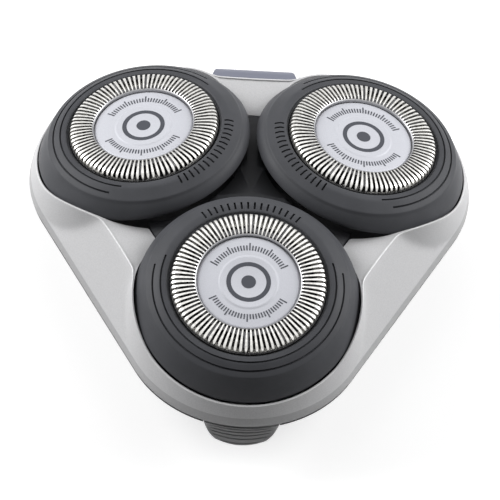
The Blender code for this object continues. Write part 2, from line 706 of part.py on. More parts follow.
def lay_along_x(bm):
    """Turns a prism drawn as (y, z) points and extruded along Z so that it runs along X."""
    for vert in bm.verts:
        vert.co = Vector((vert.co.z, vert.co.x, vert.co.y))


def lid_ear(side):
    """One hinge ear on the lid: a round eye on a gusset into the facet."""
    eye = [(HINGE_Y + LID_EAR_RADIUS * math.cos(a), HINGE_Z + LID_EAR_RADIUS * math.sin(a))
           for a in (math.pi * i / 6 - math.pi * 0.5 for i in range(7))]
    outline = eye + [(HINGE_Y - EAR_GUSSET_REACH, HINGE_Z + EAR_GUSSET_RISE),
                     (HINGE_Y - EAR_GUSSET_FOOT, HINGE_Z - LID_EAR_RADIUS)]
    low, high = sorted((side * LID_EAR_INNER, side * LID_EAR_OUTER))
    bm = prism(outline, low, high)
    lay_along_x(bm)
    return bm


def make_inner_frame(material, parent, back_to_world):
    """Black chassis: a plate with an opening under each pod, a spine between the pods and the pods' ears."""
    plate_top = FRAME_PLATE_Z + FRAME_PLATE
    frame = add_object("inner_frame", prism(hull_outline(LID_CORNER_CIRCLE, FRAME_RADIUS), FRAME_PLATE_Z,
                                            plate_top), material, parent, back_to_world)
    for azimuth in POD_AZIMUTHS.values():
        a = math.radians(azimuth)
        hole = rod(FRAME_OPENING, FRAME_PLATE_Z - PAST, plate_top + PAST, 18, "Z",
                   (FRAME_OPENING_CIRCLE * math.cos(a), FRAME_OPENING_CIRCLE * math.sin(a), 0))
        combine(frame, hole, "DIFFERENCE")
    spine = []
    for azimuth in WEB_AZIMUTHS:
        along = Vector((math.cos(math.radians(azimuth)), math.sin(math.radians(azimuth))))
        across = Vector((-along.y, along.x))
        end = WEB_EDGE_REACH - SEAT_GAP
        for reach, half in ((SPINE_WAIST_REACH, -SPINE_WAIST), (end, -SPINE_END), (end, SPINE_END),
                            (SPINE_WAIST_REACH, SPINE_WAIST)):
            spine.append(tuple(along * reach + across * half))
        hub = math.radians(azimuth) + HALF_SECTOR
        spine.append((SPINE_HUB * math.cos(hub), SPINE_HUB * math.sin(hub)))
    combine(frame, prism(spine, FRAME_PLATE_Z + FRAME_PLATE / 2, SPINE_TOP_Z), "UNION")
    for azimuth in POD_AZIMUTHS.values():
        pivot = pod_matrix(azimuth, TILT_AXIS_DEPTH).to_translation()
        place = back_to_world @ Matrix.Translation((pivot.x, pivot.y, 0))
        place = place @ Matrix.Rotation(math.radians(azimuth), 4, "Z")
        for side in (-1, 1):
            low, high = sorted((side * EAR_INNER, side * EAR_OUTER))
            ear = block((-EAR_HALF_WIDTH, low, FRAME_PLATE_Z + FRAME_PLATE / 2),
                        (EAR_HALF_WIDTH, high, pivot.z + EAR_RISE))
            combine(frame, ear, "UNION", place)
        hole = rod(EAR_HOLE_RADIUS, -EAR_OUTER - PAST, EAR_OUTER + PAST, 6, "Y", (0, 0, pivot.z))
        combine(frame, hole, "DIFFERENCE", place)
    combine(frame, hinge_room(), "DIFFERENCE")
    hook_front = STEM_BACK_Y - HOOK_THICKNESS - HOOK_ROOM
    combine(frame, block((-STEM_HALF - WINDOW_GAP, hook_front - 0.004, FRAME_PLATE_Z - PAST),
                         (STEM_HALF + WINDOW_GAP, STEM_BACK_Y + HOOK_ROOM, plate_top + PAST)), "DIFFERENCE")
    return frame


def make_guard(name, material, parent, place):
    """Steel cap: a slotted cutting track between the sunk centre and the outer wall."""
    inner_wall = RECESS_RADIUS + GUARD_PLATE
    profile = [
        (0, -RECESS_DEPTH), (RECESS_RADIUS, -RECESS_DEPTH), (RECESS_RADIUS, 0),
        (GUARD_RADIUS - GUARD_CHAMFER, 0), (GUARD_RADIUS, -GUARD_CHAMFER),
        (GUARD_RADIUS, -GUARD_WALL_DEPTH), (GUARD_RADIUS + GUARD_FLARE, -GUARD_DEPTH),
        (GUARD_RADIUS + GUARD_FLARE - GUARD_PLATE, -GUARD_DEPTH),
        (GUARD_RADIUS - GUARD_PLATE, -GUARD_WALL_DEPTH), (GUARD_RADIUS - GUARD_PLATE, -GUARD_PLATE),
        (inner_wall, -GUARD_PLATE), (inner_wall, -RECESS_DEPTH - GUARD_PLATE),
        (0, -RECESS_DEPTH - GUARD_PLATE),
    ]
    guard = add_object(name, turned(profile, GUARD_STEPS, closed=False), material, parent, place)
    slots = bmesh.new()
    for i in range(SLOT_COUNT):
        slot = block((SLOT_INNER, -SLOT_WIDTH / 2, -2 * GUARD_PLATE),
                     (SLOT_OUTER, SLOT_WIDTH / 2, GUARD_PLATE))
        turn_about_z(slot, math.tau * i / SLOT_COUNT)
        add_bm(slots, slot)
    combine(guard, slots, "DIFFERENCE")
    return guard


def make_guard_cover(name, material, parent, place):
    """Plain centre cover, raised a little in the middle."""
    bottom = -RECESS_DEPTH + COVER_SEAT_GAP
    centre_top = COVER_CENTRE_RISE - COVER_SINK
    profile = [
        (0, centre_top), (COVER_CENTRE_RADIUS - COVER_CENTRE_SLOPE, centre_top),
        (COVER_CENTRE_RADIUS, -COVER_SINK), (COVER_RADIUS - COVER_CHAMFER, -COVER_SINK),
        (COVER_RADIUS, -COVER_SINK - COVER_CHAMFER), (COVER_RADIUS, bottom), (0, bottom),
    ]
    return add_object(name, turned(profile, COVER_STEPS, closed=False), material, parent, place)


def make_pod_ring(name, material, parent, place):
    """Dark housing ring: a gently falling top, a rounded brow and a skirt cut off on the rim plane."""
    rings = [
        circle_ring(RING_BORE, -RING_TOP_SINK, RING_STEPS),
        circle_ring(RING_FLAT_RADIUS, -RING_FLAT_SINK, RING_STEPS),
        circle_ring(RING_SHOULDER_RADIUS, -RING_SHOULDER_SINK, RING_STEPS),
        circle_ring(RING_BROW_RADIUS, -RING_BROW_SINK, RING_STEPS),
        rim_ring(SKIRT_RADIUS, 0, RING_STEPS),
        rim_ring(SKIRT_RADIUS - SKIRT_WALL, 0, RING_STEPS),
        circle_ring(RING_SEAT_RADIUS, -RING_SEAT_DEPTH, RING_STEPS),
        circle_ring(RING_SEAT_RADIUS, -RING_SEAT_SINK, RING_STEPS),
        circle_ring(RING_BORE, -RING_SEAT_SINK + RING_SEAT_RADIUS - RING_BORE - RING_SEAT_LIP, RING_STEPS),
    ]
    return add_object(name, loft(rings, capped=False), material, parent, place)


def make_carrier(name, material, parent, place):
    """Black ring under the pod ring, with the tilt pins and the catches for the retaining ring."""
    rings = [
        circle_ring(CARRIER_BORE, -CARRIER_BORE_TOP, CARRIER_STEPS),
        rim_ring(CARRIER_RADIUS, CARRIER_TOP_DROP, CARRIER_STEPS),
        rim_ring(CARRIER_FOOT_RADIUS, CARRIER_DEPTH, CARRIER_STEPS),
        rim_ring(CARRIER_BORE, CARRIER_DEPTH, CARRIER_STEPS),
    ]
    carrier = add_object(name, loft(rings, capped=False), material, parent, place)
    for side in (-1, 1):
        start, end = sorted((side * TILT_PIN_ROOT, side * TILT_PIN_TIP))
        combine(carrier, rod(TILT_PIN_RADIUS, start, end, 6, "Y", (0, 0, -TILT_AXIS_DEPTH)), "UNION")
    catches = bmesh.new()
    for i in range(3):
        catch = arc_block(CATCH_REACH, CATCH_ROOT, -CATCH_TOP - CATCH_HEIGHT, -CATCH_TOP, CATCH_ARC)
        turn_about_z(catch, math.tau * i / 3)
        add_bm(catches, catch)
    combine(carrier, catches, "UNION")
    return carrier


def make_retaining_ring(name, material, parent, place):
    """Ring that clamps guard and cutter in the pod, with three lugs over the carrier's catches."""
    bottom = -RETAINER_TOP - RETAINER_HEIGHT
    profile = [(RETAINER_RADIUS, -RETAINER_TOP), (RETAINER_RADIUS, bottom), (RETAINER_BORE, bottom),
               (RETAINER_BORE, -RETAINER_TOP)]
    ring = add_object(name, turned(profile, RETAINER_STEPS), material, parent, place)
    lugs = bmesh.new()
    for i in range(3):
        lug = arc_block(RETAINER_RADIUS - LUG_ROOT, LUG_RADIUS, bottom, bottom + LUG_HEIGHT, LUG_ARC)
        turn_about_z(lug, math.tau * i / 3)
        add_bm(lugs, lug)
    combine(ring, lugs, "UNION")
    return ring


def make_cutter(name, material, parent, place):
    """Steel cutter: a ring whose narrow facets grow outward into fingers under the guard's slots."""
    angles = []
    for i in range(FINGER_COUNT):
        centre = math.tau * i / FINGER_COUNT
        angles += [centre - FINGER_ARC / 2, centre + FINGER_ARC / 2]

    def ring(radius, height):
        return [Vector((radius * math.cos(a), radius * math.sin(a), height)) for a in angles]

    bm = loft([ring(CUTTER_BORE, -CUTTER_TOP), ring(CUTTER_RING_RADIUS, -CUTTER_TOP),
               ring(CUTTER_RING_RADIUS, -CUTTER_BOTTOM), ring(CUTTER_BORE, -CUTTER_BOTTOM)],
              capped=False, split=False)
    bm.normal_update()
    for face in list(bm.faces):
        middle = face.calc_center_median()
        reach = math.hypot(middle.x, middle.y)
        level = [edge for edge in face.edges if abs(edge.verts[0].co.z - edge.verts[1].co.z) < 1e-7]
        narrow = max(edge.calc_length() for edge in level) < 1.5 * FINGER_ARC * CUTTER_RING_RADIUS
        outer = reach > (CUTTER_BORE + CUTTER_RING_RADIUS) / 2
        upright = abs(middle.z + (CUTTER_TOP + CUTTER_BOTTOM) / 2) < 1e-5
        if not (narrow and outer and upright):
            continue
        grown = bmesh.ops.extrude_discrete_faces(bm, faces=[face])["faces"][0]
        out = Vector((middle.x, middle.y, 0)).normalized() * (CUTTER_RADIUS - CUTTER_RING_RADIUS)
        bmesh.ops.translate(bm, verts=grown.verts, vec=out)
    return add_object(name, bm, material, parent, place)


def make_cutter_hub(name, material, parent, place):
    """Plastic hub: a disc inside the cutter, and a boss with the six-sided socket for the spindle."""
    profile = [(0, -HUB_TOP), (HUB_RADIUS, -HUB_TOP), (HUB_RADIUS, -HUB_TOP - HUB_PLATE),
               (HUB_BOSS_RADIUS, -HUB_TOP - HUB_PLATE), (HUB_BOSS_RADIUS, -HUB_BOTTOM), (0, -HUB_BOTTOM)]
    hub = add_object(name, turned(profile, HUB_STEPS, closed=False), material, parent, place)
    corner = SOCKET_ACROSS / 2 / math.cos(math.pi / 6)
    combine(hub, rod(corner, -HUB_BOTTOM - PAST, -SOCKET_TOP, 6), "DIFFERENCE")
    return hub


def make_hair_chamber(material):
    """Base tub: sloping walls round the hair space, and the walled gear room under its floor."""
    room_outer = hull_outline(ROOM_CORNER_CIRCLE, ROOM_RADIUS + CHAMBER_WALL)
    room_inner = hull_outline(ROOM_CORNER_CIRCLE, ROOM_RADIUS)
    rings = [
        at_height(room_inner, ROOM_CEILING_Z),
        at_height(room_inner, ROOM_FOOT_Z),
        at_height(room_outer, ROOM_FOOT_Z),
        at_height(room_outer, ROOM_CEILING_Z),
        at_height(hull_outline(LID_CORNER_CIRCLE, CHAMBER_SHOULDER_RADIUS), CHAMBER_SHOULDER_Z),
        at_height(hull_outline(LID_CORNER_CIRCLE, CHAMBER_RIM_RADIUS), CHAMBER_RIM_Z),
        at_height(hull_outline(LID_CORNER_CIRCLE, CHAMBER_RIM_RADIUS - CHAMBER_WALL), CHAMBER_RIM_Z),
        at_height(hull_outline(LID_CORNER_CIRCLE, CHAMBER_SHOULDER_RADIUS - CHAMBER_WALL), CHAMBER_FLOOR_Z),
    ]
    chamber = add_object("hair_chamber", loft(rings, capped=True), material)
    for azimuth in POD_AZIMUTHS.values():
        a = math.radians(azimuth)
        hole = rod(FLOOR_HOLE_RADIUS, ROOM_CEILING_Z - PAST, CHAMBER_FLOOR_Z + PAST, 12, "Z",
                   (SPINDLE_REACH * math.cos(a), SPINDLE_REACH * math.sin(a), 0))
        combine(chamber, hole, "DIFFERENCE")
    combine(chamber, tab_prism(WINDOW_GAP, TAB_FRONT_Y - 3 * PAST, STEM_BACK_Y + WINDOW_DEPTH), "DIFFERENCE")
    combine(chamber, knuckle(), "UNION")
    combine(chamber, rod(HINGE_HOLE_RADIUS, -KNUCKLE_HALF - PAST, KNUCKLE_HALF + PAST, HINGE_STEPS, "X",
                         (0, HINGE_Y, HINGE_Z)), "DIFFERENCE")
    return chamber


def knuckle():
    """The chamber's hinge post, with a round knuckle on top."""
    eye = [(HINGE_Y + KNUCKLE_RADIUS * math.cos(a), HINGE_Z + KNUCKLE_RADIUS * math.sin(a))
           for a in (math.pi * i / 8 for i in range(9))]
    foot_y = LID_CORNER_CIRCLE / 2 + CHAMBER_RIM_RADIUS - CHAMBER_WALL / 2
    outline = eye + [(POST_FRONT_Y, HINGE_Z - POST_STEP), (POST_FRONT_Y, CHAMBER_RIM_Z - POST_STEP),
                     (foot_y, CHAMBER_RIM_Z - POST_STEP), (foot_y, HINGE_Z - POST_RISE)]
    bm = prism(outline, -KNUCKLE_HALF, KNUCKLE_HALF)
    lay_along_x(bm)
    return bm


def make_hinge_cover(material):
    """Bar over the knuckle, seen behind the lid's rear web."""
    steps = 8
    angles = [HINGE_COVER_START + HINGE_COVER_SWEEP * i / steps for i in range(steps + 1)]
    outside = [(HINGE_Y + HINGE_COVER_RADIUS * math.cos(a), HINGE_Z + HINGE_COVER_RADIUS * math.sin(a))
               for a in angles]
    inside = [(HINGE_Y + HINGE_COVER_BORE * math.cos(a), HINGE_Z + HINGE_COVER_BORE * math.sin(a))
              for a in reversed(angles)]
    bm = prism(outside + inside, -HINGE_COVER_HALF, HINGE_COVER_HALF)
    lay_along_x(bm)
    return add_object("hinge_cover", bm, material)


def make_hinge_pin(material):
    bm = rod(HINGE_PIN_RADIUS, -HINGE_PIN_HALF, HINGE_PIN_HALF, HINGE_STEPS, "X", (0, HINGE_Y, HINGE_Z))
    return add_object("hinge_pin", bm, material)


def make_gear_cover(material):
    """Plate that closes the gear room, with a stud for each satellite gear."""
    top = COVER_PLATE_Z + COVER_PLATE
    cover = add_object("gear_cover", prism(hull_outline(ROOM_CORNER_CIRCLE, ROOM_RADIUS - SEAT_GAP),
                                           COVER_PLATE_Z, top), material)
    combine(cover, rod(COVER_HOLE_RADIUS, COVER_PLATE_Z - PAST, top + PAST, 12), "DIFFERENCE")
    for azimuth in POD_AZIMUTHS.values():
        a = math.radians(azimuth)
        stud = rod(STUD_RADIUS, COVER_PLATE_Z + COVER_PLATE / 2, STUD_TOP_Z, 6, "Z",
                   (SPINDLE_REACH * math.cos(a), SPINDLE_REACH * math.sin(a), 0))
        combine(cover, stud, "UNION")
    return cover


def make_coupling_collar(material):
    """Ring that clips on the handle, with three snap notches in its bore."""
    profile = [(COLLAR_RING_RADIUS, COLLAR_RING_TOP), (COLLAR_RING_RADIUS, 0), (COLLAR_RING_BORE, 0),
               (COLLAR_RING_BORE, COLLAR_RING_TOP)]
    collar = add_object("coupling_collar", turned(profile, 24), material)
    notches = bmesh.new()
    for azimuth in WEB_AZIMUTHS:
        notch = block((COLLAR_RING_BORE - PAST, -NOTCH_WIDTH / 2, COLLAR_RING_TOP - NOTCH_HEIGHT),
                      (COLLAR_RING_BORE + NOTCH_DEPTH, NOTCH_WIDTH / 2, COLLAR_RING_TOP + PAST))
        bmesh.ops.rotate(notch, verts=notch.verts, cent=(0, 0, 0),
                         matrix=Matrix.Rotation(math.radians(azimuth), 3, "Z"))
        add_bm(notches, notch)
    combine(collar, notches, "DIFFERENCE")
    return collar


def make_drive_gear(material):
    """Central gear on a boss with a six-sided socket for the handle's shaft."""
    outline = gear_outline(DRIVE_TEETH, math.radians(30))
    gear = add_object("drive_gear", prism(outline, GEAR_Z, GEAR_Z + GEAR_WIDTH), material)
    combine(gear, rod(DRIVE_BOSS_RADIUS, DRIVE_BOSS_FOOT_Z, GEAR_Z + GEAR_WIDTH / 2, 12), "UNION")
    corner = DRIVE_SOCKET_ACROSS / 2 / math.cos(math.pi / 6)
    combine(gear, rod(corner, DRIVE_BOSS_FOOT_Z - PAST, DRIVE_SOCKET_TOP_Z, 6), "DIFFERENCE")
    return gear


def make_satellite_gear(name, material, axis):
    """Satellite gear with the tube that guides the spindle and holds its spring."""
    phase = math.pi + math.pi / SATELLITE_TEETH
    outline = gear_outline(SATELLITE_TEETH, phase)
    gear = add_object(name, prism(outline, GEAR_Z, GEAR_Z + GEAR_WIDTH), material, axis)
    combine(gear, rod(TUBE_RADIUS, GEAR_Z + GEAR_WIDTH / 2, TUBE_TOP_Z, 10), "UNION")
    combine(gear, rod(TUBE_BORE, TUBE_FLOOR_Z, TUBE_TOP_Z + PAST, 10), "DIFFERENCE")
    combine(gear, rod(STUD_HOLE_RADIUS, GEAR_Z - PAST, STUD_HOLE_TOP_Z, 6), "DIFFERENCE")
    return gear


def make_drive_spindle(name, material, axis):
    """Steel spindle: a six-sided head in the cutter hub's socket and a collar that rests on the spring."""
    tilt_z = GUARD_HEIGHT - TILT_AXIS_DEPTH * math.cos(POD_LEAN)
    top = tilt_z + SPINDLE_HEAD_ABOVE
    neck = tilt_z - SPINDLE_HEAD_BELOW
    collar_top = SPINDLE_COLLAR_Z + SPINDLE_COLLAR_HEIGHT
    profile = [(0, top), (SPINDLE_HEAD_RADIUS * 0.8, top), (SPINDLE_HEAD_RADIUS, top - SPINDLE_CHAMFER),
               (SPINDLE_HEAD_RADIUS, neck), (SPINDLE_RADIUS, neck - SPINDLE_CHAMFER),
               (SPINDLE_RADIUS, collar_top), (SPINDLE_COLLAR_RADIUS, collar_top),
               (SPINDLE_COLLAR_RADIUS, SPINDLE_COLLAR_Z),
               (SPINDLE_RADIUS, SPINDLE_COLLAR_Z), (SPINDLE_RADIUS, SPINDLE_FOOT_Z), (0, SPINDLE_FOOT_Z)]
    return add_object(name, turned(profile, 6, closed=False), material, axis)


def make_spindle_spring(name, material, axis):
    """Coil spring in the gear's tube, under the spindle's collar."""
    low = TUBE_FLOOR_Z + SPRING_WIRE + SPRING_GAP
    high = SPINDLE_COLLAR_Z - SPRING_WIRE - SPRING_GAP
    count = SPRING_TURNS * SPRING_STEPS
    rings = []
    for i in range(count + 1):
        angle = math.tau * i / SPRING_STEPS
        out = Vector((math.cos(angle), math.sin(angle), 0))
        centre = out * SPRING_RADIUS + Vector((0, 0, low + (high - low) * i / count))
        rings.append([centre + out * SPRING_WIRE * math.cos(b) + Vector((0, 0, SPRING_WIRE * math.sin(b)))
                      for b in (math.tau * k / 3 for k in range(3))])
    return add_object(name, loft(rings, capped=True), material, axis)


def tab_prism(grow, front, back):
    """The tab's outline as seen from the front, grown all round and run from front to back."""
    corner = (TAB_TOP_HALF + TAB_BOTTOM_HALF) / 2 + TAB_CORNER_BULGE
    middle = (TAB_TOP_Z + TAB_BOTTOM_Z) / 2 - TAB_CORNER_DROP
    half = [(TAB_TOP_HALF + grow, TAB_TOP_Z + grow),
            (TAB_TOP_HALF - TAB_SIDE_TAPER + grow, (TAB_TOP_Z + middle) / 2),
            (corner + grow, middle), (TAB_BOTTOM_HALF + grow, TAB_BOTTOM_Z + TAB_SIDE_TAPER - grow / 2),
            (TAB_BOTTOM_HALF - TAB_FOOT_INSET, TAB_BOTTOM_Z - grow)]
    outline = half + [(-x, z) for x, z in reversed(half)]
    bm = prism(outline, front, back)
    for vert in bm.verts:
        vert.co = Vector((vert.co.x, vert.co.z, vert.co.y))
    return bm


def make_release_button(material):
    """Ribbed tab under the lid's front edge, with a stem through the chamber's window and a hook."""
    back = TAB_FRONT_Y + TAB_THICKNESS
    button = add_object("release_button", tab_prism(0, TAB_FRONT_Y, back), material)
    grooves = bmesh.new()
    for i in range(TAB_RIBS):
        z = TAB_BOTTOM_Z + (TAB_TOP_Z - TAB_BOTTOM_Z) * (i + 0.8) / (TAB_RIBS + 0.4)
        add_bm(grooves, block((-TAB_TOP_HALF - PAST, TAB_FRONT_Y - PAST, z - TAB_RIB_WIDTH / 2),
                              (TAB_TOP_HALF + PAST, TAB_FRONT_Y + TAB_RIB_DEPTH, z + TAB_RIB_WIDTH / 2)))
    combine(button, grooves, "DIFFERENCE")
    front = STEM_BACK_Y - HOOK_THICKNESS
    side = [(back - 0.0003, STEM_BOTTOM_Z), (STEM_BACK_Y, STEM_BOTTOM_Z), (STEM_BACK_Y, HOOK_TOP_Z),
            (HOOK_NOSE_Y, HOOK_TOP_Z), (HOOK_NOSE_Y, HOOK_TOP_Z - HOOK_NOSE_HEIGHT),
            (front, HOOK_TOP_Z - HOOK_NOSE_HEIGHT), (front, STEM_TOP_Z), (back - 0.0003, STEM_TOP_Z)]
    arm = prism(side, -STEM_HALF, STEM_HALF)
    lay_along_x(arm)
    combine(button, arm, "UNION")
    return button


def main():
    clear_scene()
    bpy.context.scene.unit_settings.system = "METRIC"
    silver = make_material("satin_silver", (0.52, 0.52, 0.54), 0.38, 0.7)
    black = make_material("black_plastic", (0.012, 0.012, 0.014), 0.45)
    steel = make_material("guard_steel", (0.72, 0.71, 0.69), 0.22, 1.0)
    blade_steel = make_material("blade_steel", (0.55, 0.55, 0.56), 0.28, 1.0)
    graphite = make_material("graphite_plastic", (0.065, 0.068, 0.075), 0.42)
    lilac = make_material("pale_lilac_plastic", (0.62, 0.62, 0.68), 0.35, 0.2)
    hub_white = make_material("hub_plastic", (0.7, 0.7, 0.68), 0.5)
    gear_white = make_material("gear_plastic", (0.75, 0.74, 0.7), 0.5)
    spring_steel = make_material("spring_steel", (0.5, 0.5, 0.5), 0.3, 1.0)
    tab_grey = make_material("tab_plastic", (0.08, 0.08, 0.085), 0.5)
    bar_blue = make_material("hinge_cover_plastic", (0.27, 0.275, 0.33), 0.4)
    chamber_grey = make_material("chamber_plastic", (0.035, 0.036, 0.04), 0.45)

    hinge = Vector((0, HINGE_Y, HINGE_Z))
    lid = add_empty("lid_axis", Matrix.Translation(hinge))
    back_to_world = Matrix.Translation(-hinge)
    make_lid_shell(silver, lid, back_to_world)
    make_inner_frame(black, lid, back_to_world)

    for place, azimuth in POD_AZIMUTHS.items():
        tilt = add_empty(f"pod_axis_{place}", back_to_world @ pod_matrix(azimuth, TILT_AXIS_DEPTH), lid)
        lift = Matrix.Translation((0, 0, TILT_AXIS_DEPTH))
        make_guard(f"guard_{place}", steel, tilt, lift)
        make_guard_cover(f"guard_cover_{place}", lilac, tilt, lift)
        make_pod_ring(f"pod_ring_{place}", graphite, tilt, lift)
        make_carrier(f"carrier_{place}", black, tilt, lift)
        make_retaining_ring(f"retaining_ring_{place}", hub_white, tilt, lift)
        make_cutter(f"cutter_{place}", blade_steel, tilt, lift)
        make_cutter_hub(f"cutter_hub_{place}", hub_white, tilt, lift)

        a = math.radians(azimuth)
        seat = Vector((SPINDLE_REACH * math.cos(a), SPINDLE_REACH * math.sin(a), 0))
        axis = add_empty(f"spindle_axis_{place}", Matrix.Translation(seat) @ Matrix.Rotation(a, 4, "Z"))
        make_satellite_gear(f"satellite_gear_{place}", gear_white, axis)
        make_drive_spindle(f"drive_spindle_{place}", steel, axis)
        make_spindle_spring(f"spindle_spring_{place}", spring_steel, axis)

    make_hair_chamber(chamber_grey)
    make_gear_cover(chamber_grey)
    make_coupling_collar(black)
    make_drive_gear(gear_white)
    make_hinge_pin(spring_steel)
    make_hinge_cover(bar_blue)
    make_release_button(tab_grey)


main()
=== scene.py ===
import json
import math

import bmesh
import bpy
from mathutils import Matrix, Vector

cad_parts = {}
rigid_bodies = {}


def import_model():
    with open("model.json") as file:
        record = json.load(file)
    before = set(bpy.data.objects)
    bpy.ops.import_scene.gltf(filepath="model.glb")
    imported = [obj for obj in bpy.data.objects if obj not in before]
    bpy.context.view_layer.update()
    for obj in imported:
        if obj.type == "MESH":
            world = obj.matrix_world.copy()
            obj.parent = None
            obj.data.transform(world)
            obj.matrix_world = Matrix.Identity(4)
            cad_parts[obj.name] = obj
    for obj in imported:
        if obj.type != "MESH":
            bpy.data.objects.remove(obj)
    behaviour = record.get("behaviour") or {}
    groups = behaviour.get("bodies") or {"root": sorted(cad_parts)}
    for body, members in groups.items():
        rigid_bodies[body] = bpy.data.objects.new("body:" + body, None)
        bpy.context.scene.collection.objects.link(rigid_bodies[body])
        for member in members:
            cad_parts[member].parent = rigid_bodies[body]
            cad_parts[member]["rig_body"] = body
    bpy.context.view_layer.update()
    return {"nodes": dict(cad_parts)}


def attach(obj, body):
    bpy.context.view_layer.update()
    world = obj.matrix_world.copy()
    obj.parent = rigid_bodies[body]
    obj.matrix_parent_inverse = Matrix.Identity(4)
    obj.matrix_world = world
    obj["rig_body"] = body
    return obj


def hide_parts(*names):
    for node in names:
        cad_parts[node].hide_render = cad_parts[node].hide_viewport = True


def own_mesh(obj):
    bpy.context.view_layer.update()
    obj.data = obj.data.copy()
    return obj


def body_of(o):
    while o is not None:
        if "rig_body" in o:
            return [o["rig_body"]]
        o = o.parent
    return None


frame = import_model()
print("frame loaded")

layout = {
    "podAngles": {"front": -90, "right": 30, "left": 150},
    "podCircle": 0.01913,
    "podLean": 10.2,
    "guardHeight": 0.024,
    "rimSink": 0.00443,     # lower edge of a pod's skirt, under the guard's top
    "rimOffset": 0.0004,
    "rimLean": 3.6,
    "cornerCircle": 0.0178,
}
halfSector = math.radians(60)


def podMatrix(angle):
    direction = math.radians(angle)
    lean = math.radians(layout["podLean"])
    turn = Matrix.Rotation(direction, 4, "Z") @ Matrix.Rotation(lean, 4, "Y")
    seat = Vector((math.cos(direction), math.sin(direction), 0)) * layout["podCircle"]
    return Matrix.Translation(seat + Vector((0, 0, layout["guardHeight"]))) @ turn


# Mesh helpers
mergeDistance = 1e-7
nodeMergeDistance = 2e-7
flatAngle = 0.5     # degrees; faces that meet flatter than this become one
cutScale = 1000     # solids are cut this much larger, well above the tolerance of the Boolean


def startProfile(points, closed=True):
    bm = bmesh.new()
    verts = [bm.verts.new((radius, 0, height)) for radius, height in points]
    for a, b in zip(verts, verts[1:]):
        bm.edges.new((a, b))
    if closed:
        bm.edges.new((verts[-1], verts[0]))
    return bm


def spun(points, steps, closed=True, arc=math.tau, start=0.0):
    bm = startProfile(points, closed)
    bmesh.ops.rotate(bm, verts=bm.verts, cent=(0, 0, 0), matrix=Matrix.Rotation(start, 3, "Z"))
    whole = arc == math.tau
    if not whole:
        bmesh.ops.contextual_create(bm, geom=bm.verts[:] + bm.edges[:])
    geom = bm.verts[:] + bm.edges[:] + bm.faces[:]
    bmesh.ops.spin(bm, geom=geom, cent=(0, 0, 0), axis=(0, 0, 1), angle=arc, steps=steps, use_merge=whole)
    bmesh.ops.remove_doubles(bm, verts=bm.verts, dist=mergeDistance)
    bmesh.ops.recalc_face_normals(bm, faces=bm.faces)
    return bm


def boxMesh(low, high):
    bm = bmesh.new()
    bmesh.ops.create_cube(bm, size=1)
    low, high = Vector(low), Vector(high)
    bmesh.ops.scale(bm, verts=bm.verts, vec=high - low)
    bmesh.ops.translate(bm, verts=bm.verts, vec=(low + high) / 2)
    return bm


def addMesh(target, other, matrix=None, slot=0):
    for face in other.faces:
        face.material_index = slot
    mesh = bpy.data.meshes.new("part")
    other.to_mesh(mesh)
    other.free()
    if matrix is not None:
        mesh.transform(matrix)
    target.from_mesh(mesh)
    bpy.data.meshes.remove(mesh)
    return target


def shadeSmooth(mesh, angle):
    mesh.shade_smooth()
    mesh.set_sharp_from_angle(angle=math.radians(angle))


def makeObject(name, bm, material=None, smooth=40, others=()):
    mesh = bpy.data.meshes.new(name)
    bm.to_mesh(mesh)
    bm.free()
    obj = bpy.data.objects.new(name, mesh)
    bpy.context.scene.collection.objects.link(obj)
    for finish in [material] + list(others):
        if finish:
            mesh.materials.append(finish)
    shadeSmooth(mesh, smooth)
    return obj


def cut(obj, toolMesh, operation="DIFFERENCE", smooth=40):
    tool = makeObject("cutTool", toolMesh)
    for part in (obj, tool):
        part.data.transform(Matrix.Scale(cutScale, 4))
    modifier = obj.modifiers.new("cut", "BOOLEAN")
    modifier.operation = operation
    modifier.solver = "EXACT"
    modifier.object = tool
    graph = bpy.context.evaluated_depsgraph_get()
    mesh = bpy.data.meshes.new_from_object(obj.evaluated_get(graph))
    obj.modifiers.clear()
    old = obj.data
    obj.data = mesh
    bpy.data.meshes.remove(old)
    bpy.data.objects.remove(tool)
    mesh.transform(Matrix.Scale(1 / cutScale, 4))
    shadeSmooth(mesh, smooth)
    return obj


def placeCopy(source, name, matrix, body, *nodes):
    mesh = source.data.copy()
    mesh.transform(matrix)
    obj = bpy.data.objects.new(name, mesh)
    bpy.context.scene.collection.objects.link(obj)
    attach(obj, body)
    if nodes:
        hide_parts(*nodes)
    return obj


def placeOnPods(source, name, body, node=None):
    for place, angle in layout["podAngles"].items():
        nodes = [f"{node}_{place}"] if node else []
        placeCopy(source, f"{name}_{place}", podMatrix(angle), f"{body}_{place}", *nodes)
    bpy.data.objects.remove(source)


# Materials
def newMaterial(name, colour, roughness, metallic=0.0):
    material = bpy.data.materials.new(name)
    material.use_nodes = True
    shader = material.node_tree.nodes["Principled BSDF"]
    shader.inputs["Base Color"].default_value = (*colour, 1)
    shader.inputs["Roughness"].default_value = roughness
    shader.inputs["Metallic"].default_value = metallic
    return material, material.node_tree, shader


def addGrain(tree, shader, scale, height, strength, detail=2.0):
    links = tree.links
    where = tree.nodes.new("ShaderNodeTexCoord")
    noise = tree.nodes.new("ShaderNodeTexNoise")
    noise.inputs["Scale"].default_value = scale
    noise.inputs["Detail"].default_value = detail
    bump = tree.nodes.new("ShaderNodeBump")
    bump.inputs["Strength"].default_value = strength
    bump.inputs["Distance"].default_value = height
    links.new(where.outputs["Object"], noise.inputs["Vector"])
    links.new(noise.outputs["Fac"], bump.inputs["Height"])
    links.new(bump.outputs["Normal"], shader.inputs["Normal"])
    return where


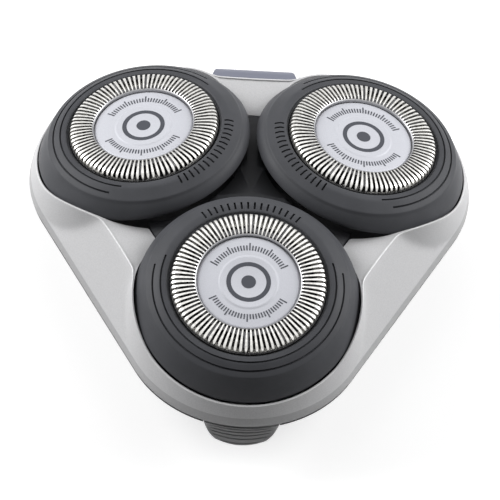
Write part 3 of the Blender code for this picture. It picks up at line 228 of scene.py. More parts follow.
def addMottle(tree, shader, where, scale, darker, lighter):
    noise = tree.nodes.new("ShaderNodeTexNoise")
    noise.inputs["Scale"].default_value = scale
    noise.inputs["Detail"].default_value = 4
    ramp = tree.nodes.new("ShaderNodeValToRGB")
    ramp.color_ramp.elements[0].position = 0.35
    ramp.color_ramp.elements[1].position = 0.65
    ramp.color_ramp.elements[0].color = (*darker, 1)
    ramp.color_ramp.elements[1].color = (*lighter, 1)
    tree.links.new(where.outputs["Object"], noise.inputs["Vector"])
    tree.links.new(noise.outputs["Fac"], ramp.inputs["Fac"])
    tree.links.new(ramp.outputs["Color"], shader.inputs["Base Color"])


def addRoughnessNoise(tree, shader, where, scale, low, high):
    noise = tree.nodes.new("ShaderNodeTexNoise")
    noise.inputs["Scale"].default_value = scale
    noise.inputs["Detail"].default_value = 3
    spread = tree.nodes.new("ShaderNodeMapRange")
    spread.inputs["To Min"].default_value = low
    spread.inputs["To Max"].default_value = high
    tree.links.new(where.outputs["Object"], noise.inputs["Vector"])
    tree.links.new(noise.outputs["Fac"], spread.inputs["Value"])
    tree.links.new(spread.outputs["Result"], shader.inputs["Roughness"])


# shade below 1 gives a darker copy of the silver, used as painted shade on the lid's foot band
def satinSilver(name, shade=1.0):
    colour, darker, lighter = [(level * shade, level * shade, (level + 0.01) * shade)
                               for level in (0.62, 0.59, 0.66)]
    material, tree, shader = newMaterial(name, colour, roughness=0.42, metallic=0.08)
    shader.inputs["Specular IOR Level"].default_value = 0.3
    where = addGrain(tree, shader, scale=9000, height=0.00002, strength=0.25)
    addMottle(tree, shader, where, 6000, darker, lighter)
    addRoughnessNoise(tree, shader, where, 300, low=0.36, high=0.44)
    return material


# A lighter copy of the lid's silver for the rounded rim and the web's lip: a painted highlight along the
# edge
def paintedHighlightEdge():
    material, tree, shader = newMaterial("edgeSilver", (0.80, 0.80, 0.81), roughness=0.35, metallic=0.1)
    where = addGrain(tree, shader, scale=9000, height=0.00001, strength=0.2)
    addMottle(tree, shader, where, 6000, (0.77, 0.77, 0.78), (0.84, 0.84, 0.85))
    return material


def softGraphite():
    material, tree, shader = newMaterial("softGraphite", (0.072, 0.074, 0.081), roughness=0.48)
    shader.inputs["Specular IOR Level"].default_value = 0.15
    where = addGrain(tree, shader, scale=5000, height=0.00002, strength=0.2)
    addMottle(tree, shader, where, 250, (0.067, 0.069, 0.076), (0.077, 0.079, 0.087))
    addRoughnessNoise(tree, shader, where, 400, low=0.44, high=0.54)
    return material


def plainPlastic(name, colour, roughness, grain=4000, shine=0.5):
    material, tree, shader = newMaterial(name, colour, roughness)
    shader.inputs["Specular IOR Level"].default_value = shine
    where = addGrain(tree, shader, scale=grain, height=0.00002, strength=0.2)
    addRoughnessNoise(tree, shader, where, 500, low=roughness - 0.05, high=roughness + 0.07)
    return material


def polishedSteel(name, colour, roughness, streak=0.82):
    material, tree, shader = newMaterial(name, colour, roughness, metallic=1.0)
    where = addGrain(tree, shader, scale=7000, height=0.000008, strength=0.3, detail=5)
    addMottle(tree, shader, where, 2600, [part * streak for part in colour], colour)
    addRoughnessNoise(tree, shader, where, 1500, low=roughness - 0.06, high=roughness + 0.08)
    return material


def pearlLilac():
    material, tree, shader = newMaterial("pearlLilac", (0.6, 0.61, 0.66), roughness=0.45, metallic=0.1)
    where = addGrain(tree, shader, scale=12000, height=0.00001, strength=0.2)
    addMottle(tree, shader, where, 9000, (0.59, 0.60, 0.65), (0.65, 0.66, 0.71))
    return material


finishes = {
    "silver": satinSilver("satinSilver"),
    # the foot band's silver is the lid's silver at 0.76: painted shade on the band below the crease
    "foot": satinSilver("footSilver", 0.76),
    "edge": paintedHighlightEdge(),
    "graphite": softGraphite(),
    "black": plainPlastic("blackPlastic", (0.047, 0.048, 0.053), 0.6, 4000, 0.3),
    "guard": polishedSteel("guardSteel", (0.84, 0.83, 0.80), 0.34, 0.72),
    # near-black steel for the guard's outer ring and floor: painted shade in the gap around the guard
    "guardFoot": polishedSteel("guardFootSteel", (0.06, 0.06, 0.062), 0.5),
    # grey steel for the guard's inner ring: painted shade, darker than the guard's own steel
    "guardRim": polishedSteel("guardRimSteel", (0.36, 0.36, 0.37), 0.4),
    # near-black steel for the cutters: painted shade of their place inside the pods
    "blade": polishedSteel("bladeSteel", (0.12, 0.12, 0.125), 0.4),
    "spring": polishedSteel("springSteel", (0.55, 0.55, 0.55), 0.3),
    "lilac": pearlLilac(),
    "mark": plainPlastic("markInk", (0.044, 0.048, 0.062), 0.5, 8000),
    "chamber": plainPlastic("chamberPlastic", (0.022, 0.022, 0.026), 0.42),
    "tab": plainPlastic("tabPlastic", (0.40, 0.40, 0.406), 0.5),
    "bar": plainPlastic("hingeBarPlastic", (0.18, 0.19, 0.24), 0.42),
    "natural": plainPlastic("naturalPlastic", (0.72, 0.71, 0.67), 0.5),
    "hub": plainPlastic("hubPlastic", (0.08, 0.08, 0.085), 0.5),
}
print("materials made")

# Guards: 88 bars that bend over the edge of the cap
guardSizes = {
    "bars": 88,
    "slot": 0.00038,
    "thickness": 0.00024,
    "track": [(0.00768, -0.00030), (0.00776, -0.00013), (0.00795, -0.00005), (0.00880, -0.00002),
              (0.00980, -0.00004), (0.01045, -0.00011), (0.01085, -0.00026), (0.01107, -0.00050),
              (0.01118, -0.00085), (0.01122, -0.00125)],
    "fingerSlot": 0.00022,      # the bars narrow to fingers down the outer wall
    "fingerTop": 0.00034,
    "fingerRun": 0.0003,
    "fingerReach": 0.0103,
    "innerRing": [(0.00750, -0.00100), (0.00750, -0.00040), (0.00758, -0.00024), (0.00768, -0.00020),
                  (0.00775, -0.00030), (0.00775, -0.00128), (0.00710, -0.00128), (0.00710, -0.00100)],
    "outerRing": [(0.01124, -0.00118), (0.01126, -0.00142), (0.01158, -0.00178), (0.01130, -0.00178),
                  (0.01098, -0.00142), (0.01098, -0.00118)],
    "floor": [(0, -0.00102), (0.0072, -0.00102), (0.0072, -0.00128), (0, -0.00128)],
    "floorSteps": 64,
    "steps": 264,
}


def offsetInward(path, thickness):
    inner = []
    for i, (radius, height) in enumerate(path):
        before = path[max(i - 1, 0)]
        after = path[min(i + 1, len(path) - 1)]
        along = Vector((after[0] - before[0], after[1] - before[1])).normalized()
        inner.append((radius + along.y * thickness, height - along.x * thickness))
    return inner


def makeGuard():
    sizes = guardSizes
    pitch = math.tau / sizes["bars"]
    wall = sizes["track"] + offsetInward(sizes["track"], sizes["thickness"])[::-1]
    bar = spun(wall, 1, True, pitch / 2, -pitch / 4)
    for vert in bar.verts:
        reach = math.hypot(vert.co.x, vert.co.y)
        side = math.copysign(1, vert.co.y)
        finger = 0
        if reach > sizes["fingerReach"]:
            finger = min(1, max(0, (-vert.co.z - sizes["fingerTop"]) / sizes["fingerRun"]))
        slot = sizes["slot"] + sizes["fingerSlot"] * finger
        vert.co.y = side * (reach * math.tan(pitch / 2) - slot / 2)
        vert.co.x = reach
    bmesh.ops.recalc_face_normals(bar, faces=bar.faces)
    bmesh.ops.spin(bar, geom=bar.faces[:], cent=(0, 0, 0), axis=(0, 0, 1), angle=math.tau - pitch,
                   steps=sizes["bars"] - 1, use_duplicate=True)
    # the inner ring takes slot 2, the grey steel of painted shade
    addMesh(bar, spun(sizes["innerRing"], sizes["steps"]), slot=2)
    # the outer ring and the floor take slot 1, the dark steel of painted shade
    addMesh(bar, spun(sizes["outerRing"], sizes["steps"]), slot=1)
    addMesh(bar, spun(sizes["floor"], sizes["floorSteps"], closed=False), slot=1)
    others = (finishes["guardFoot"], finishes["guardRim"])
    return makeObject("guardSource", bar, finishes["guard"], 50, others)


placeOnPods(makeGuard(), "slottedGuard", "pod", "guard")
print("guards made")

# Centre covers, with a plain ring, a dot and two fine scales
coverSizes = {
    "profile": [(0, -0.00055), (0.0038, -0.00055), (0.00395, -0.00052), (0.0041, -0.00052),
                (0.00422, -0.00055), (0.00432, -0.00060), (0.00450, -0.00061), (0.0071, -0.00062),
                (0.00728, -0.00066), (0.007385, -0.00078), (0.007385, -0.00099), (0, -0.00099)],
    "steps": 160,
    "dot": 0.00105,
    "dotSteps": 48,
    "ring": (0.00255, 0.00320),
    "ringSteps": 96,
    "inkHeight": 0.00002,
    "middleHeight": -0.00055,
    "middleFoot": -0.0006,
    "scaleHeight": -0.00060,
    "scaleFoot": -0.0008,
    "scaleMiddles": (90, 270),
    "tickReach": 0.00515,
    "tickLength": 0.00080,
    "longTick": 0.00120,
    "tickWidth": 0.00018,
    "ticksEachSide": 14,
    "longTickEvery": 7,
    "tickStep": 4.4,
}


def makeCoverMarks():
    sizes = coverSizes
    dot, foot = sizes["dot"], sizes["middleFoot"]
    top = sizes["middleHeight"] + sizes["inkHeight"]
    low, high = sizes["ring"]
    marks = spun([(0, foot), (dot, foot), (dot, top), (0, top)], sizes["dotSteps"], closed=False)
    addMesh(marks, spun([(low, foot), (high, foot), (high, top), (low, top)], sizes["ringSteps"]))
    scaleTop = sizes["scaleHeight"] + sizes["inkHeight"]
    count = sizes["ticksEachSide"]
    half = sizes["tickWidth"] / 2
    for middle in sizes["scaleMiddles"]:
        for i in range(-count, count + 1):
            length = sizes["longTick"] if i % sizes["longTickEvery"] == 0 else sizes["tickLength"]
            tick = boxMesh((sizes["tickReach"], -half, sizes["scaleFoot"]),
                           (sizes["tickReach"] + length, half, scaleTop))
            angle = math.radians(middle + i * sizes["tickStep"])
            addMesh(marks, tick, Matrix.Rotation(angle, 4, "Z"))
    return makeObject("marksSource", marks, finishes["mark"])


def makeCover():
    cover = spun(coverSizes["profile"], coverSizes["steps"], closed=False)
    return makeObject("coverSource", cover, finishes["lilac"], 50)


def placeMarks(source):
    # The scales stand the same way on all three covers, as seen from the front
    for place, angle in layout["podAngles"].items():
        turn = Matrix.Rotation(math.radians(-angle), 4, "Z")
        placeCopy(source, f"coverMarks_{place}", podMatrix(angle) @ turn, f"pod_{place}")
    bpy.data.objects.remove(source)


placeOnPods(makeCover(), "centreCover", "pod", "guard_cover")
placeMarks(makeCoverMarks())
print("covers made")

# Pod rings: soft graphite housings with two long grooves and a comb of short slots
ringSizes = {
    "steps": 256,
    "top": [(0.01140, -0.00136), (0.01160, -0.00131), (0.01165, -0.00102), (0.01171, -0.00091),
            (0.01182, -0.00086), (0.01200, -0.00085), (0.01262, -0.00086), (0.01285, -0.00092),
            (0.01310, -0.00104), (0.01380, -0.00143), (0.01446, -0.00176), (0.01460, -0.00184),
            (0.01469, -0.00195), (0.01476, -0.00212)],
    "slopeStart": 4,          # the point of the top from which the ring falls outwards
    "skirt": 0.01625,
    "skirtEase": 0.00030,     # the skirts stand back from each other at the middle
    "skirtDrop": 0.00046,     # and dip into the lid's collars
    "skirtBulge": 0.00010,
    "bulgeRise": 0.3,
    "skirtLip": [(0.00001, 0.00014), (-0.00003, 0.00004), (-0.00014, 0)],     # outset and rise
    "skirtWall": 0.00018,
    "skirtEdge": 0.0004,
    "skirtSteps": 7,
    "seat": [(0.0120, -0.0024), (0.0120, -0.00152), (0.0114, -0.00150)],
    "grooves": [(0.01262, 108), (0.01376, 101)],
    "grooveWidth": 0.00026,
    "grooveDepth": 0.00032,
    "grooveSteps": 120,
    "slots": 16,
    "slotStep": 4.3,
    "slotReach": (0.01212, 0.01348),
    "slotWidth": 0.00029,
    "slotFloor": 0.00165,
    "cutTop": 0.0002,
}


def rimPoint(angle, radius, drop):
    radius -= ringSizes["skirtEase"] * max(0, -math.cos(angle)) ** 2
    flat = Vector((radius * math.cos(angle), radius * math.sin(angle), -drop))
    tilted = Matrix.Rotation(math.radians(layout["rimLean"]), 3, "Y") @ flat
    return tilted + Vector((layout["rimOffset"], 0, -layout["rimSink"]))


def growLoop(bm, edges, place, slot=0):
    grown = bmesh.ops.extrude_edge_only(bm, edges=edges)["geom"]
    for part in grown:
        if isinstance(part, bmesh.types.BMVert):
            part.co = place(math.atan2(part.co.y, part.co.x))
        elif isinstance(part, bmesh.types.BMFace):
            part.material_index = slot
    return [part for part in grown if isinstance(part, bmesh.types.BMEdge)]


def flatPoint(radius, height):
    return lambda angle: Vector((radius * math.cos(angle), radius * math.sin(angle), height))


def loopedBody(steps, places, slots=None):
    # Each place gives a loop's points by their angle; slots gives the material of the faces up to a loop
    slots = slots or {}
    bm = bmesh.new()
    bmesh.ops.create_circle(bm, segments=steps, radius=0.01)
    for vert in bm.verts:
        vert.co = places[0](math.atan2(vert.co.y, vert.co.x))
    first = bm.edges[:]
    edges = first
    for i, place in enumerate(places[1:], 1):
        edges = growLoop(bm, edges, place, slots.get(i, 0))
    bmesh.ops.bridge_loops(bm, edges=first + edges)
    bmesh.ops.recalc_face_normals(bm, faces=bm.faces)
    return bm


def skirtPoint(t):
    brow = ringSizes["top"][-1]

    def place(angle):
        upper = Vector((brow[0] * math.cos(angle), brow[0] * math.sin(angle), brow[1]))
        lower = rimPoint(angle, ringSizes["skirt"], 0)
        point = upper.lerp(lower, t)
        bulge = ringSizes["skirtBulge"] * math.sin(math.pi * t)
        return point + Vector((math.cos(angle), math.sin(angle), ringSizes["bulgeRise"])) * bulge
    return place


def skirtPlace(outset, drop):
    return lambda angle: rimPoint(angle, ringSizes["skirt"] + outset, drop)


def ringHeight(radius):
    top = ringSizes["top"][ringSizes["slopeStart"]:]
    for (r0, z0), (r1, z1) in zip(top, top[1:]):
        if r0 <= radius <= r1:
            return z0 + (z1 - z0) * (radius - r0) / (r1 - r0)
    return top[0][1]


def ringCuts():
    sizes = ringSizes
    tools = bmesh.new()
    half = sizes["grooveWidth"] / 2
    for radius, reach in sizes["grooves"]:
        inner, outer, top = radius - half, radius + half, -sizes["cutTop"]
        bottom = ringHeight(radius) - sizes["grooveDepth"]
        profile = [(inner, top), (outer, top), (outer, bottom), (inner, bottom)]
        arc = math.radians(2 * reach)
        addMesh(tools, spun(profile, sizes["grooveSteps"], True, arc, -arc / 2))
    low, high = sizes["slotReach"]
    half = sizes["slotWidth"] / 2
    for i in range(sizes["slots"]):
        angle = math.radians(180 + (i - (sizes["slots"] - 1) / 2) * sizes["slotStep"])
        slot = boxMesh((low, -half, -sizes["slotFloor"]), (high, half, sizes["cutTop"]))
        addMesh(tools, slot, Matrix.Rotation(angle, 4, "Z"))
    return tools


def makePodRing():
    sizes = ringSizes
    drop, wall = sizes["skirtDrop"], sizes["skirtWall"]
    places = [flatPoint(*point) for point in sizes["top"]]
    places += [skirtPoint((i + 1) / sizes["skirtSteps"]) for i in range(sizes["skirtSteps"] - 1)]
    places += [skirtPlace(0, 0)]
    places += [skirtPlace(outset, drop - rise) for outset, rise in sizes["skirtLip"]]
    places += [skirtPlace(-wall, drop), skirtPlace(-wall, drop - sizes["skirtEdge"])]
    places += [flatPoint(*point) for point in sizes["seat"]]
    ring = makeObject("ringSource", loopedBody(sizes["steps"], places), finishes["graphite"], 50)
    return cut(ring, ringCuts(), smooth=50)


placeOnPods(makePodRing(), "podHousing", "pod", "pod_ring")
print("pod rings made")

# Lid shell: the collars, webs, facets and foot of the silver lid
lidSizes = {
    "steps": 540,
    "footHeight": 0.0113,
    "creaseHeight": 0.0132,
    "footRadius": 0.01815,
    "creaseRadius": 0.0179,
    "footWall": 0.0009,
    "footEdge": [(-0.00035, 0), (-0.0001, 0.0001), (0, 0.00035), (-0.00008, 0.0010)],     # outset and rise
    "creaseWall": 0.00075,
    "creaseEdge": [(0.00003, -0.0001), (0, 0)],
    "facetLevels": (0.96, 0.9, 0.8, 0.7, 0.6, 0.5, 0.4, 0.3, 0.2, 0.1, 0.04),     # from crease to rim
    "collarDrop": 0.00042,
    "collarBore": 0.01642,
    "collarWall": 0.00030,
    "webRim": 0.0221,
    "rearWebRim": 0.0226,
    "webRimDrop": 0.0034,
    "webFlat": 9.0,           # degrees from a web's middle: the web's own slope up to here
    "webEnd": 37.0,           # and the collar's plane from here
    "webEdge": 0.0162,
    "webEdgeDrop": 0.0045,
    "webLip": 0.00020,
    "webLipWidth": 0.00030,
    "lipStart": 0.0006,       # the lip starts where the top is wider than this
    "lipRun": 0.0008,
    "wall": 0.0012,
    "underGap": 0.00002,
    "underStep": 0.0005,
    "underCrease": (0.0001, -0.0002),
    "blend": 0.0010,
    "boreBlend": 0.0002,
    "round": 0.00009,
    "smooth": 32,
    "ledgeLow": (-0.003, 0.0114),     # x and z of the ledge that the release button's hook holds
    "ledgeHigh": (0.003, 0.01185),
    "ledgeEdge": -0.0343,
}


def discReach(delta, centre, radius, squash=1.0):
    a = (math.cos(delta) / squash) ** 2 + math.sin(delta) ** 2
    b = -2 * centre * math.cos(delta) / squash ** 2
    c = (centre / squash) ** 2 - radius ** 2
    return (-b + math.sqrt(max(0, b * b - 4 * a * c))) / (2 * a)


def sector(theta):
    toPod = min(abs((theta - math.radians(angle) + math.pi) % math.tau - math.pi)
                for angle in layout["podAngles"].values())
    return toPod, halfSector - toPod


def joinedReach(disc, side, toWeb, blend):
    if toWeb > halfSector / 2:
        return disc
    blend = blend * (1 - (2 * toWeb / halfSector) ** 2)
    return (disc + side + math.hypot(disc - side, blend)) / 2


def hullReach(theta, centre, radius):
    toPod, toWeb = sector(theta)
    side = centre / 2 + radius
    if toWeb < math.atan2(centre * math.sin(halfSector), side):
        return side / math.cos(toWeb)
    return discReach(toPod, centre, radius)


def rimCentre():
    podLean = math.radians(layout["podLean"])
    lean = podLean + math.radians(layout["rimLean"])
    offset, sink = layout["rimOffset"], layout["rimSink"]
    reach = layout["podCircle"] + offset * math.cos(podLean) - sink * math.sin(podLean)
    height = layout["guardHeight"] - offset * math.sin(podLean) - sink * math.cos(podLean)
    return reach, height - lidSizes["collarDrop"], lean


def lidOuterReach(theta, down, grow=0.0):
    # down runs from the rim (0) to the crease (1)
    sizes = lidSizes
    toPod, toWeb = sector(theta)
    if down == 1:
        return hullReach(theta, layout["cornerCircle"], sizes["creaseRadius"] + grow)
    reach, _, lean = rimCentre()
    centre = reach + (layout["cornerCircle"] - reach) * down
    topRadius = sizes["collarBore"] + sizes["collarWall"]
    radius = topRadius + (sizes["creaseRadius"] - topRadius) * down + grow
    squash = math.cos(lean) + (1 - math.cos(lean)) * down
    disc = discReach(toPod, centre, radius, squash)
    rim = sizes["rearWebRim"] if abs(theta - math.pi / 2) < halfSector else sizes["webRim"]
    side = rim + (layout["cornerCircle"] / 2 + sizes["creaseRadius"] - rim) * down + grow
    return joinedReach(disc, side / math.cos(toWeb), toWeb, sizes["blend"] * (1 - down))


def lidBoreReach(theta):
    toPod, toWeb = sector(theta)
    reach, _, lean = rimCentre()
    disc = discReach(toPod, reach, lidSizes["collarBore"], math.cos(lean))
    return joinedReach(disc, lidSizes["webEdge"] / math.cos(toWeb), toWeb, lidSizes["boreBlend"])


def lidTop(theta, reach):
    sizes = lidSizes
    toPod, toWeb = sector(theta)
    rimReach, rimHeight, lean = rimCentre()
    plane = rimHeight - (reach * math.cos(toPod) - rimReach) * math.tan(lean)
    into = (math.degrees(toWeb) - sizes["webFlat"]) / (sizes["webEnd"] - sizes["webFlat"])
    if into >= 1:
        return plane
    slope = (sizes["webEdgeDrop"] - sizes["webRimDrop"]) / (sizes["webRim"] - sizes["webEdge"])
    web = layout["guardHeight"] - sizes["webRimDrop"] - slope * (sizes["webRim"] - reach * math.cos(toWeb))
    into = max(0, into)
    return web + (plane - web) * into * into * (3 - 2 * into)


def polar(reachAt, heightAt):
    def place(theta):
        reach = reachAt(theta)
        return Vector((reach * math.cos(theta), reach * math.sin(theta), heightAt(theta, reach)))
    return place


def hullPlace(radius, height):
    return polar(lambda theta: hullReach(theta, layout["cornerCircle"], radius), lambda *_: height)


def outerPlace(down, grow=0.0, lift=0.0):
    def height(theta, _):
        top = lidTop(theta, lidOuterReach(theta, 0))
        return top + (lidSizes["creaseHeight"] - top) * down + lift
    return polar(lambda theta: lidOuterReach(theta, down, grow), height)


def lipReach(theta, t):
    outside = lidOuterReach(theta, 0)
    inside = lidBoreReach(theta)
    width = min(lidSizes["webLipWidth"], (outside - inside) * 0.5)
    return outside - lidSizes["round"] - (width - lidSizes["round"]) * t


def lipDrop(theta):
    room = lidOuterReach(theta, 0) - lidBoreReach(theta)
    return lidSizes["webLip"] * min(1, max(0, (room - lidSizes["lipStart"]) / lidSizes["lipRun"]))


def lipTop(theta, reach):
    return lidTop(theta, reach) - lipDrop(theta)


def underReach(theta):
    return max(lidBoreReach(theta) + lidSizes["underGap"], lidOuterReach(theta, 0) - lidSizes["wall"])


def underHeight(theta, _):
    top = lidTop(theta, lidOuterReach(theta, 0))
    lowest = lidSizes["creaseHeight"] + lidSizes["underCrease"][0]
    return max(top - lidSizes["wall"] - lidSizes["underStep"], lowest)


def footPlaces():
    sizes = lidSizes
    radius, foot, crease = sizes["footRadius"], sizes["footHeight"], sizes["creaseHeight"]
    places = [hullPlace(radius - sizes["footWall"], foot)]
    places += [hullPlace(radius + outset, foot + rise) for outset, rise in sizes["footEdge"]]
    radius = sizes["creaseRadius"]
    places += [hullPlace(radius + outset, crease + rise) for outset, rise in sizes["creaseEdge"]]
    return places


def rimPlaces():
    r = lidSizes["round"]
    return [outerPlace(0, 0.0, -r), outerPlace(0, -0.3 * r, -0.3 * r), outerPlace(0, -r, 0.0),
            polar(lambda theta: lipReach(theta, 0.7), lidTop)]


def innerPlaces():
    sizes = lidSizes
    r = sizes["round"]
    last = sizes["creaseHeight"] + sizes["underCrease"][1]
    return [
        polar(lambda theta: lipReach(theta, 1.0), lipTop),
        polar(lambda theta: lidBoreReach(theta) + 0.5 * (lipReach(theta, 1) - lidBoreReach(theta)), lipTop),
        polar(lambda theta: lidBoreReach(theta) + 0.5 * r, lipTop),
        polar(lidBoreReach, lambda theta, reach: lipTop(theta, reach) - r),
        polar(lidBoreReach, lambda theta, reach: lidTop(theta, reach) - sizes["wall"]),
        polar(underReach, underHeight),
        hullPlace(sizes["creaseRadius"] - sizes["creaseWall"], last),
    ]


def makeLidShell():
    foot, rim = footPlaces(), rimPlaces()
    facet = [outerPlace(level) for level in lidSizes["facetLevels"]]
    first = len(foot) + len(facet)
    # faces of the foot band take slot 2, the darker silver of painted shade
    slots = {i: 2 for i in range(1, len(foot))}
    # faces of the rim's rounding and lip take slot 1, the lighter silver of a painted highlight
    slots.update({i: 1 for i in range(first + 1, first + len(rim))})
    shell = loopedBody(lidSizes["steps"], foot + facet + rim + innerPlaces(), slots)
    bmesh.ops.triangulate(shell, faces=shell.faces)
    others = (finishes["edge"], finishes["foot"])
    return makeObject("lidShell", shell, finishes["silver"], lidSizes["smooth"], others)


# Hinge at the rear
hingeSizes = {
    "y": 0.0256,
    "z": 0.0158,
    "roomHalf": 0.00690,
    "roomRadius": 0.00265,
    "roomArc": (20, 180, 24),     # degrees and steps
    "roomBack": 0.006,
    "roomStep": 0.4,
    "roomUnder": 0.001,
    "postFront": 0.0239,
    "postGap": 0.0009,
    "earInner": 0.0062,       # the room's cut trims the ears
    "earOuter": 0.0084,
    "earRadius": 0.0016,
    "earArc": (-90, 90, 24),
    "gussetTop": (0.0024, 0.0016),
    "gussetFoot": 0.0018,
    "hole": 0.00085,
    "holeArc": (0, 337.5, 15),
    "holeHalf": 0.009,
    "coverBore": 0.0020,
    "coverRadius": 0.00225,
    "coverArc": (-15, 185),
    "coverSteps": 40,
    "coverHalf": 0.00672,
    "coverEnd": 0.0007,       # how far the ends slope in at the upper rear
    "endSlope": (0.77, 0.64),
    "endStart": 0.35,
    "coverRound": 0.00012,
}


def sidePrism(outline, low, high):
    # The outline is seen from the side, as (y, z), and runs along X
    bm = bmesh.new()
    face = bm.faces.new([bm.verts.new((low, y, z)) for y, z in outline])
    grown = bmesh.ops.extrude_face_region(bm, geom=[face])["geom"]
    moved = [part for part in grown if isinstance(part, bmesh.types.BMVert)]
    bmesh.ops.translate(bm, verts=moved, vec=(high - low, 0, 0))
    bmesh.ops.recalc_face_normals(bm, faces=bm.faces)
    return bm


def hingeArc(radius, start, end, steps):
    y, z = hingeSizes["y"], hingeSizes["z"]
    angles = [math.radians(start + (end - start) * i / steps) for i in range(steps + 1)]
    return [(y + radius * math.cos(angle), z + radius * math.sin(angle)) for angle in angles]


def hingeRoom():
    sizes = hingeSizes
    back, under = sizes["y"] + sizes["roomBack"], lidSizes["footHeight"] - sizes["roomUnder"]
    outline = hingeArc(sizes["roomRadius"], *sizes["roomArc"])
    outline[0] = (back, sizes["z"] + sizes["roomRadius"] * sizes["roomStep"])
    outline += [(sizes["postFront"] - sizes["postGap"], under), (back, under)]
    return sidePrism(outline, -sizes["roomHalf"], sizes["roomHalf"])


def lidEar(side):
    sizes = hingeSizes
    inset, rise = sizes["gussetTop"]
    outline = hingeArc(sizes["earRadius"], *sizes["earArc"])
    outline += [(sizes["y"] - inset, sizes["z"] + rise),
                (sizes["y"] - sizes["gussetFoot"], sizes["z"] - sizes["earRadius"])]
    low, high = sorted((side * sizes["earInner"], side * sizes["earOuter"]))
    return sidePrism(outline, low, high)


def pinHole():
    sizes = hingeSizes
    return sidePrism(hingeArc(sizes["hole"], *sizes["holeArc"]), -sizes["holeHalf"], sizes["holeHalf"])


def hookLedge():
    sizes = lidSizes
    wallInside = -(layout["cornerCircle"] + sizes["footRadius"] - sizes["footWall"] / 2)
    (left, low), (right, high) = sizes["ledgeLow"], sizes["ledgeHigh"]
    return boxMesh((left, wallInside, low), (right, sizes["ledgeEdge"], high))


def finishLidShell():
    shell = makeLidShell()
    smooth = lidSizes["smooth"]
    for side in (-1, 1):
        cut(shell, lidEar(side), "UNION", smooth)
    cut(shell, hingeRoom(), smooth=smooth)
    cut(shell, pinHole(), smooth=smooth)
    cut(shell, hookLedge(), "UNION", smooth)
    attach(shell, "lid")
    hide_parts("outer_shell")


finishLidShell()
print("lid made")


def makeHingeCover():
    sizes = hingeSizes
    (start, end), steps = sizes["coverArc"], sizes["coverSteps"]
    outline = hingeArc(sizes["coverRadius"], start, end, steps)
    outline += hingeArc(sizes["coverBore"], end, start, steps)
    bm = sidePrism(outline, -sizes["coverHalf"], sizes["coverHalf"])
    alongY, alongZ = sizes["endSlope"]
    for vert in bm.verts:
        back, rise = vert.co.y - sizes["y"], vert.co.z - sizes["z"]
        lift = (back * alongY + rise * alongZ) / sizes["coverRadius"]
        inwards = sizes["coverEnd"] * max(0, lift - sizes["endStart"]) / (1 - sizes["endStart"])
        vert.co.x -= math.copysign(inwards, vert.co.x)
    ends = [edge for edge in bm.edges if edge.verts[0].co.x * edge.verts[1].co.x > 0]
    bmesh.ops.bevel(bm, geom=ends, offset=sizes["coverRound"], offset_type="OFFSET", segments=3,
                    profile=0.5, affect="EDGES", material=-1, clamp_overlap=True)
    cover = makeObject("hingeBar", bm, finishes["bar"], 40)
    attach(cover, "base")
    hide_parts("hinge_cover")


makeHingeCover()
print("hinge made")

# Release button: a thumb tab with curved ribs
tabSizes = {
    "frontY": -0.0369,
    "thickness": 0.0010,
    "top": 0.0111,
    "bottom": 0.0080,
    "topHalf": 0.00545,
    "bottomHalf": 0.0044,
    "narrowing": 1.6,
    "corner": 0.0011,
    "cornerStart": 0.55,
    "cornerRun": 0.45,
    "bow": 0.0011,            # the lower edge rises this much at its ends
    "footShare": 0.8,         # how far the lower edge follows the lid's round foot
    "swell": 2.6,
    "ribs": 5,
    "ribStart": 0.45,
    "ribSharpness": 3,
    "ribDepth": 0.00052,
    "ribReach": 0.84,
    "ribFade": 9,
    "edgeRound": 0.00030,
    "edgeFade": 16,
    "columns": 64,
    "rows": 96,
    "stemHalf": 0.003,
    "stem": [(-0.0356, 0.0089), (-0.0325, 0.0089), (-0.0325, 0.01255), (-0.03415, 0.01255),
             (-0.03415, 0.0120), (-0.0335, 0.0120), (-0.0335, 0.0103), (-0.0356, 0.0103)],
}


def tabHalfWidth(t):
    # t runs from the tab's top (0) to its bottom (1)
    sizes = tabSizes
    width = sizes["topHalf"] + (sizes["bottomHalf"] - sizes["topHalf"]) * t ** sizes["narrowing"]
    into = max(0, t - sizes["cornerStart"]) / sizes["cornerRun"]
    return width - sizes["corner"] * (1 - math.sqrt(max(0, 1 - into * into)))


def tabPoint(across, t):
    sizes = tabSizes
    x = across * tabHalfWidth(t)
    z = sizes["top"] + (sizes["bottom"] + sizes["bow"] * across * across - sizes["top"]) * t
    foot = -(layout["cornerCircle"] + math.sqrt(lidSizes["footRadius"] ** 2 - x * x))
    lowY = sizes["frontY"] + sizes["footShare"] * (foot + layout["cornerCircle"] + lidSizes["footRadius"])
    y = foot + (lowY - foot) * t ** sizes["swell"]
    sideFade = min(1, max(0, (sizes["ribReach"] - abs(across)) * sizes["ribFade"]))
    lowFade = min(1, (1 - t) * sizes["ribFade"])
    wave = max(0, math.cos((t * sizes["ribs"] + sizes["ribStart"]) * math.tau))
    groove = wave ** sizes["ribSharpness"] * sizes["ribDepth"] * (sideFade * lowFade)
    fromEdge = min((1 - abs(across)) * sizes["edgeFade"], (1 - t) * sizes["edgeFade"])
    rounded = sizes["edgeRound"] * max(0, 1 - fromEdge) ** 2
    return Vector((x, y + groove + rounded, z))


def makeTab():
    sizes = tabSizes
    bm = bmesh.new()
    bmesh.ops.create_grid(bm, x_segments=sizes["columns"], y_segments=sizes["rows"], size=0.5)
    for vert in bm.verts:
        vert.co = tabPoint(vert.co.x * 2, 0.5 - vert.co.y)
    grown = bmesh.ops.extrude_face_region(bm, geom=bm.faces[:])["geom"]
    moved = [part for part in grown if isinstance(part, bmesh.types.BMVert)]
    bmesh.ops.translate(bm, verts=moved, vec=(0, sizes["thickness"], 0))
    bmesh.ops.recalc_face_normals(bm, faces=bm.faces)
    addMesh(bm, sidePrism(sizes["stem"], -sizes["stemHalf"], sizes["stemHalf"]))
    tab = makeObject("releaseTab", bm, finishes["tab"], 40)
    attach(tab, "button")
    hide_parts("release_button")


makeTab()
print("tab made")

